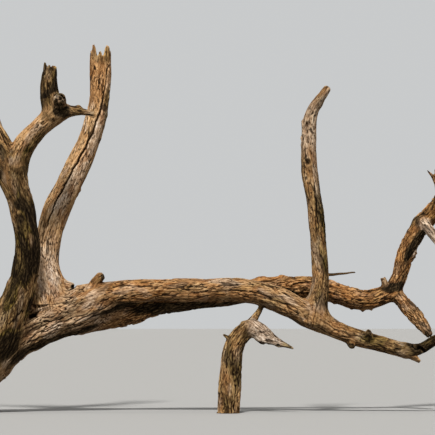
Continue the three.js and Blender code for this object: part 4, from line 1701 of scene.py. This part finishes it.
def closing_fans(points: Array, faces: Array) -> tuple[Array, list[tuple[int, int, int]]]:
    """Closes each open rim of a mesh with a fan round its middle.

    Args:
        points: The mesh's points.
        faces: Its four-sided faces.

    Returns:
        The middles to add, and the fans' triangles.
    """
    count = len(points)
    heads = faces.ravel()
    tails = np.roll(faces, -1, axis=1).ravel()
    key = heads * count + tails
    twin = tails * count + heads
    open_edges = ~np.isin(key, twin)
    follow: dict[int, list[int]] = {}
    for head, tail in zip(heads[open_edges].tolist(), tails[open_edges].tolist()):
        follow.setdefault(head, []).append(tail)
    middles, fans = [], []
    while follow:
        first = next(iter(follow))
        loop = [first]
        while True:
            here = loop[-1]
            ways = follow.get(here)
            if not ways:
                break
            after = ways.pop()
            if not ways:
                del follow[here]
            if after == first:
                break
            loop.append(after)
        if len(loop) < 3:
            continue
        middle = count + len(middles)
        middles.append(points[loop].mean(axis=0))
        fans += [(loop[(place + 1) % len(loop)], loop[place], middle) for place in range(len(loop))]
    return np.array(middles).reshape(-1, 3), fans


@dataclass
class Material:
    """Builds the weathered wood's shader for one finish."""

    finish: WoodFinish

    # Cells for a metre along the grain and across it: a cloud of colour is about 90 mm by 180 mm, a streak
    # 20 mm by 140 mm, a hairline 12 mm by 50 mm and a dash 15 mm by 45 mm. Real fibres are finer and are
    # drawn this coarse to show
    CLOUD = (5.5, 11.0, 11.0)
    STREAK = (7.0, 50.0, 50.0)
    HAIRLINE = (20.0, 84.0, 84.0)
    DASH = (22.0, 66.0, 66.0)
    # The dash's values at which the painted shade of a short split and the painted highlight on a short
    # fleck begin and are full, and how strong they are
    PIT = (0.56, 0.64, 0.85)
    FLECK = (0.45, 0.36, 0.42)
    # How far either side of the pattern's mean the furrows' and the ridges' colours lie
    SPREAD = 0.11
    # What cloud, streak, hairline and ridge add to the colour's place between furrow and ridge. The ridge's
    # share paints shade in the furrows and light on the ridges
    MIX = (0.22, 0.26, 0.34, 0.18)
    # What hairline, streak and pit add to the fine relief
    RISES = (0.6, 0.5, -0.5)
    # The fine relief's height in metres
    BUMP_HEIGHT = 0.011
    # The painted shade in the depth of a crack, and how far a crack shows it
    DEPTH = "#150d06"
    CRACK_SHARE = 0.85
    # Wood's usual level is 0.5. The loose grey fibres of old wood scatter most of that gloss, and with it
    # the dark furrows would look milky
    SPECULAR_LEVEL = 0.04

    def build(self) -> bpy.types.Material:
        """Makes the material.

        Returns:
            The material, which reads the skin's own layers.
        """
        material = bpy.data.materials.new(self.finish.name)
        material.use_nodes = True
        tree = material.node_tree
        tree.nodes.clear()
        streak = self.pattern(tree, self.STREAK, 4.0, 0.6)
        hairline = self.pattern(tree, self.HAIRLINE, 2.0, 0.55)
        dash = self.pattern(tree, self.DASH, 3.0, 0.6)
        pit, fleck = (
            add_node(tree, "ShaderNodeMapRange", {"interpolation_type": "SMOOTHSTEP"}, {
                "Value": dash, "From Min": none, "From Max": full, "To Max": most}).outputs["Result"]
            for none, full, most in (self.PIT, self.FLECK))
        relief = 0.0
        for value, weight in zip((hairline, streak, pit), self.RISES):
            relief = add_node(tree, "ShaderNodeMath", {"operation": "MULTIPLY_ADD"}, {
                0: value, 1: weight, 2: relief}).outputs["Value"]
        bump = add_node(tree, "ShaderNodeBump", None, {
            "Strength": 1.0, "Distance": self.BUMP_HEIGHT, "Height": relief})
        shader = add_node(tree, "ShaderNodeBsdfPrincipled", None, {
            "Base Color": self.colour(tree, streak, hairline, pit, fleck),
            "Roughness": self.finish.roughness, "Specular IOR Level": self.SPECULAR_LEVEL,
            "Normal": bump.outputs["Normal"]})
        add_node(tree, "ShaderNodeOutputMaterial", None, {"Surface": shader.outputs["BSDF"]})
        return material

    def colour(self, tree: bpy.types.NodeTree, streak: Socket, hairline: Socket,
               pit: Socket, fleck: Socket) -> Socket:
        """Mixes the states of the wood, each coloured by the same pattern from its furrows to its ridges,
        then paints highlights on short flecks and shade in splits and cracks.

        Args:
            tree: The material's tree.
            streak: The broad streaks.
            hairline: The fine lines between them.
            pit: How far a place lies in a short split, painted dark as shade.
            fleck: How far it lies on a short fleck, painted bright as a highlight.

        Returns:
            The wood's colour.
        """
        cloud = self.pattern(tree, self.CLOUD, 2.0, 0.5)
        crack, ridge = (add_node(tree, "ShaderNodeAttribute", {"attribute_name": name}).outputs["Fac"]
                        for name in ("crack", "ridge"))
        # The ridge layer's share paints shade in the furrows and light on the ridges
        mixed = 0.0
        for value, weight in zip((cloud, streak, hairline, ridge), self.MIX):
            mixed = add_node(tree, "ShaderNodeMath", {"operation": "MULTIPLY_ADD"}, {
                0: value, 1: weight, 2: mixed}).outputs["Value"]
        colour = None
        for tone in Tone:
            wood = add_node(tree, "ShaderNodeValToRGB", None, {"Fac": mixed})
            stops = wood.color_ramp.elements
            stops[0].position, stops[0].color = 0.5 - self.SPREAD, hex_to_linear(tone.value.furrow)
            stops[1].position, stops[1].color = 0.5 + self.SPREAD, hex_to_linear(tone.value.ridge)
            stops.new(0.5).color = hex_to_linear(tone.value.body)
            if colour is None:
                colour = wood.outputs["Color"]
                continue
            share = add_node(tree, "ShaderNodeAttribute", {"attribute_name": tone.name.lower()})
            colour = add_node(tree, "ShaderNodeMix", {"data_type": "RGBA"}, {
                0: share.outputs["Fac"], 6: colour, 7: wood.outputs["Color"]}).outputs[2]
        # Painted highlights on the short flecks
        colour = add_node(tree, "ShaderNodeMix", {"data_type": "RGBA", "blend_type": "SCREEN"}, {
            0: fleck, 6: colour, 7: colour}).outputs[2]
        # Painted shade in the short splits and in the cracks
        deep = add_node(tree, "ShaderNodeMath", {"operation": "MULTIPLY"}, {0: crack, 1: self.CRACK_SHARE})
        for share in (pit, deep.outputs["Value"]):
            colour = add_node(tree, "ShaderNodeMix", {"data_type": "RGBA"}, {
                0: share, 6: colour, 7: hex_to_linear(self.DEPTH)}).outputs[2]
        return colour

    def pattern(self, tree: bpy.types.NodeTree, scale: Sequence[float], detail: float,
                roughness: float) -> Socket:
        """Adds a noise stretched along the grain, which passes from one limb's grain to its neighbour's.

        Args:
            tree: The material's tree.
            scale: Cells for a metre along and across the grain.
            detail: How many finer layers it has.
            roughness: How strong they are.

        Returns:
            The noise's value.
        """
        values = []
        for name in ("grain", "other_grain"):
            grain = add_node(tree, "ShaderNodeAttribute", {"attribute_name": name}).outputs["Vector"]
            place = add_node(tree, "ShaderNodeVectorMath", {"operation": "MULTIPLY"}, {0: grain, 1: scale})
            noise = add_node(tree, "ShaderNodeTexNoise", None, {
                "Vector": place.outputs["Vector"], "Scale": 1.0, "Detail": detail, "Roughness": roughness})
            values.append(noise.outputs["Fac"])
        join = add_node(tree, "ShaderNodeAttribute", {"attribute_name": "join"}).outputs["Fac"]
        return add_node(tree, "ShaderNodeMix", {"data_type": "FLOAT"},
                        {0: join, 2: values[0], 3: values[1]}).outputs[0]


@dataclass
class Dresser:
    """Parts the finished skin limb by limb and hangs each piece on the tree's body."""

    skin: Skin
    weathering: Weathering
    materials: dict[str, bpy.types.Material] = field(default_factory=dict)
    normals: Array = field(init=False)

    # Free room on the flat map: metres below the root and past the tip, and turns at either side
    FOOT_ROOM = 0.2
    TIP_ROOM = 0.4
    SIDE_ROOM = 0.1
    # How far before the tip, in metres, the map begins and ends its turn towards the tip's middle
    TURN_BEGINS = 0.1
    TURN_ENDS = 0.02

    def material(self, finish: WoodFinish) -> bpy.types.Material:
        """Gives a finish's material, made once.

        Args:
            finish: The finish.

        Returns:
            Its material.
        """
        if finish.name not in self.materials:
            self.materials[finish.name] = Material(finish).build()
        return self.materials[finish.name]

    def dress(self) -> None:
        """Makes one closed piece for each limb of the skin."""
        skin = self.skin
        votes = np.sort(skin.owner[0][skin.faces], axis=1)
        labels = tidy_labels(votes[:, 1], skin.faces)
        layers = {"crack": self.weathering.crack, "ridge": self.weathering.ridge}
        self.normals = skin.normals()
        for tone, share in self.weathering.tone_shares().items():
            layers[tone.name.lower()] = share
        for index, limb in enumerate(skin.limbs):
            faces = skin.faces[labels == index]
            if not len(faces):
                LOG.warning("no skin for %s", limb.name)
                continue
            self.piece(limb, index, faces, layers)

    def piece(self, limb: Limb, index: int, faces: Array, layers: dict) -> None:
        """Makes one limb's piece.

        Args:
            limb: The limb.
            index: Its number.
            faces: The skin's faces that belong to it.
            layers: Values for each point of the skin, by name.
        """
        used, local = np.unique(faces, return_inverse=True)
        local = local.reshape(faces.shape)
        points = self.skin.points[used]
        middles, fans = closing_fans(points, local)
        mesh = bpy.data.meshes.new(f"wood_{limb.name}")
        corners = local.tolist() + fans
        mesh.from_pydata(np.vstack([points, middles]).tolist(), [], corners)
        borrowed = (self.skin.owner[0][used] != index) & (self.skin.owner[1][used] == index)
        one, two = (places[used] for places in self.weathering.places)
        own = np.where(borrowed[:, None], two, one)
        other = np.where(borrowed[:, None], one, two)
        layers = {**layers, "join": np.zeros(len(self.skin.points))}
        layers["join"][used] = np.where(borrowed, 1 - self.skin.weight[used], self.skin.weight[used])
        for name, places in (("grain", own), ("other_grain", other)):
            add_layer(mesh, name, np.vstack([places, np.zeros((len(middles), 3))]))
        for name, values in layers.items():
            add_layer(mesh, name, np.concatenate([values[used], np.zeros(len(middles))]))
        self.unwrap(mesh, limb, used)
        mesh.polygons.foreach_set("use_smooth", np.ones(len(mesh.polygons), bool))
        facing = np.vstack([self.normals[used], np.tile([0.0, 0.0, 1.0], (len(middles), 1))])
        mesh.normals_split_custom_set_from_vertices(facing.tolist())
        hang(limb, mesh, self.material(limb.finish))

    def unwrap(self, mesh: bpy.types.Mesh, limb: Limb, used: Array) -> None:
        """Lays the limb's skin out flat: round it across, and along it up.

        Args:
            mesh: The piece's mesh.
            limb: The limb.
            used: The skin's points in the mesh.
        """
        reading = limb.locate(self.skin.points[used])
        round_share = reading.angle / TAU + 0.5
        up = reading.share * limb.length + reading.beyond
        tip = ramp(up, limb.length - self.TURN_BEGINS, limb.length - self.TURN_ENDS)
        up = up + tip * np.maximum(reading.radius - reading.distance, 0)
        top = limb.length + self.TIP_ROOM
        extra = len(mesh.vertices) - len(used)
        round_share = np.concatenate([round_share, np.full(extra, 0.5)])
        up = np.concatenate([(up + self.FOOT_ROOM) / (top + self.FOOT_ROOM), np.zeros(extra)])
        corner = np.empty(len(mesh.loops), np.int32)
        mesh.loops.foreach_get("vertex_index", corner)
        first = np.empty(len(mesh.polygons), np.int32)
        total = np.empty(len(mesh.polygons), np.int32)
        mesh.polygons.foreach_get("loop_start", first)
        mesh.polygons.foreach_get("loop_total", total)
        start = np.repeat(round_share[corner[first]], total)
        across = round_share[corner]
        across = np.where(across - start > 0.5, across - 1, across)
        across = np.where(start - across > 0.5, across + 1, across)
        across = (across + self.SIDE_ROOM) / (1 + 2 * self.SIDE_ROOM)
        flat = np.stack([across, np.clip(up[corner], 0, 1)], axis=1)
        layer = mesh.uv_layers.new(name=BAKE_MAP)
        layer.data.foreach_set("uv", flat.astype(np.float32).ravel())


def add_layer(mesh: bpy.types.Mesh, name: str, values: Array) -> None:
    """Gives a mesh a layer that the wood's shader reads.

    Args:
        mesh: The mesh.
        name: The layer's name.
        values: A number, or a row of three, for each point.
    """
    kind, key = ("FLOAT_VECTOR", "vector") if values.ndim == 2 else ("FLOAT", "value")
    layer = mesh.attributes.new(name, kind, "POINT")
    layer.data.foreach_set(key, values.astype(np.float32).ravel())


def hang(limb: Limb, mesh: bpy.types.Mesh, material: bpy.types.Material) -> None:
    """Puts a limb's mesh in the scene in place of its plain solid.

    Args:
        limb: The limb.
        mesh: Its finished mesh.
        material: Its wood.
    """
    mesh.materials.append(material)
    piece = bpy.data.objects.new(f"wood_{limb.name}", mesh)
    bpy.context.scene.collection.objects.link(piece)
    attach(piece, "root")
    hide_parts(limb.name)
    LOG.info("%s: %d faces", piece.name, len(mesh.polygons))


@dataclass(frozen=True)
class Lamp:
    """A soft, distant lamp: the way its light goes, its strength and its spread in degrees."""

    name: str
    way: Place
    strength: float
    spread: float


@dataclass
class Studio:
    """The floor, the light and the camera."""

    # The camera stands far off, at eye height for someone seated, and looks slightly up
    distance: float = 24.0
    height: float = 1.0
    target: Place = (2.9167, 0.0, 2.1611)
    # The photograph's pixels over its pixels for a metre of the tree
    frame_width: float = 435 / 90
    sensor_mm: float = 36.0
    far_clip: float = 1000.0
    floor_colour: str = "#9e9c98"
    floor_roughness: float = 0.9
    floor_side: float = 600.0
    floor_drop: float = 0.002
    # The surround's strength at eye height and high overhead, and the heights between which it changes,
    # from 0 at the horizon to 1 straight up
    backdrop_colour: str = "#e8eaeb"
    around: float = 0.72
    overhead: float = 0.3
    changes_from: float = 0.16
    changes_to: float = 0.36
    lamps: Sequence[Lamp] = (
        Lamp("key", (0.08, 0.62, -0.78), 4.5, 8), Lamp("side", (0.85, 0.15, -0.5), 0.8, 30))

    def floor(self) -> None:
        """Lays the plain pale floor."""
        half = self.floor_side / 2
        mesh = bpy.data.meshes.new("floor")
        mesh.from_pydata([(-half, -half, 0), (half, -half, 0), (half, half, 0), (-half, half, 0)], [],
                         [(0, 1, 2, 3)])
        material = bpy.data.materials.new("Studio floor, pale matt")
        material.use_nodes = True
        shader = material.node_tree.nodes["Principled BSDF"]
        shader.inputs["Base Color"].default_value = hex_to_linear(self.floor_colour)
        shader.inputs["Roughness"].default_value = self.floor_roughness
        mesh.materials.append(material)
        floor = bpy.data.objects.new("floor", mesh)
        floor.location.z = -self.floor_drop
        bpy.context.scene.collection.objects.link(floor)

    def light(self) -> None:
        """Adds a pale surround and two soft lights, the stronger from high in front."""
        world = bpy.data.worlds.new("studio")
        world.use_nodes = True
        tree = world.node_tree
        place = add_node(tree, "ShaderNodeTexCoord").outputs["Generated"]
        up = add_node(tree, "ShaderNodeSeparateXYZ", None, {0: place}).outputs["Z"]
        strength = add_node(tree, "ShaderNodeMapRange", {"interpolation_type": "SMOOTHSTEP"}, {
            "Value": up, "From Min": self.changes_from, "From Max": self.changes_to,
            "To Min": self.around, "To Max": self.overhead})
        backdrop = tree.nodes["Background"]
        backdrop.inputs["Color"].default_value = hex_to_linear(self.backdrop_colour)
        tree.links.new(strength.outputs["Result"], backdrop.inputs["Strength"])
        bpy.context.scene.world = world
        for lamp in self.lamps:
            light = bpy.data.lights.new(lamp.name, "SUN")
            light.energy = lamp.strength
            light.angle = math.radians(lamp.spread)
            holder = bpy.data.objects.new(lamp.name, light)
            holder.rotation_euler = Vector(lamp.way).to_track_quat("-Z", "Y").to_euler()
            bpy.context.scene.collection.objects.link(holder)

    def camera(self) -> None:
        """Sets the camera at the photograph's angle."""
        spot = Vector((self.target[0], -self.distance, self.height))
        aim = Vector(self.target) - spot
        data = bpy.data.cameras.new("camera")
        data.sensor_width = self.sensor_mm
        data.lens = self.sensor_mm * aim.length / self.frame_width
        data.clip_end = self.far_clip
        camera = bpy.data.objects.new("camera", data)
        camera.location = spot
        camera.rotation_euler = aim.to_track_quat("-Z", "Y").to_euler()
        bpy.context.scene.collection.objects.link(camera)
        bpy.context.scene.camera = camera

    def set(self) -> None:
        """Sets the whole studio."""
        self.floor()
        self.light()
        self.camera()
        bpy.context.scene.view_settings.view_transform = "Standard"


def main() -> None:
    """Builds the studio and the tree, and reports each piece."""
    logging.basicConfig(level=logging.INFO, format="%(name)s: %(message)s")
    Studio().set()
    parts = [Trunk(), NearStem(), FarStem(), MainLimb(), FarLimb(), Prop()]
    limbs = [limb for part in parts for limb in part.limbs()]
    skin = Skin(limbs, SKIN_VOXEL)
    skin.grow()
    weathering = Weathering(skin)
    weathering.carve()
    dresser = Dresser(skin, weathering)
    dresser.dress()
    Twig().dress(dresser.material(Finishes.ROTTED))


if __name__ == "__main__":
    main()
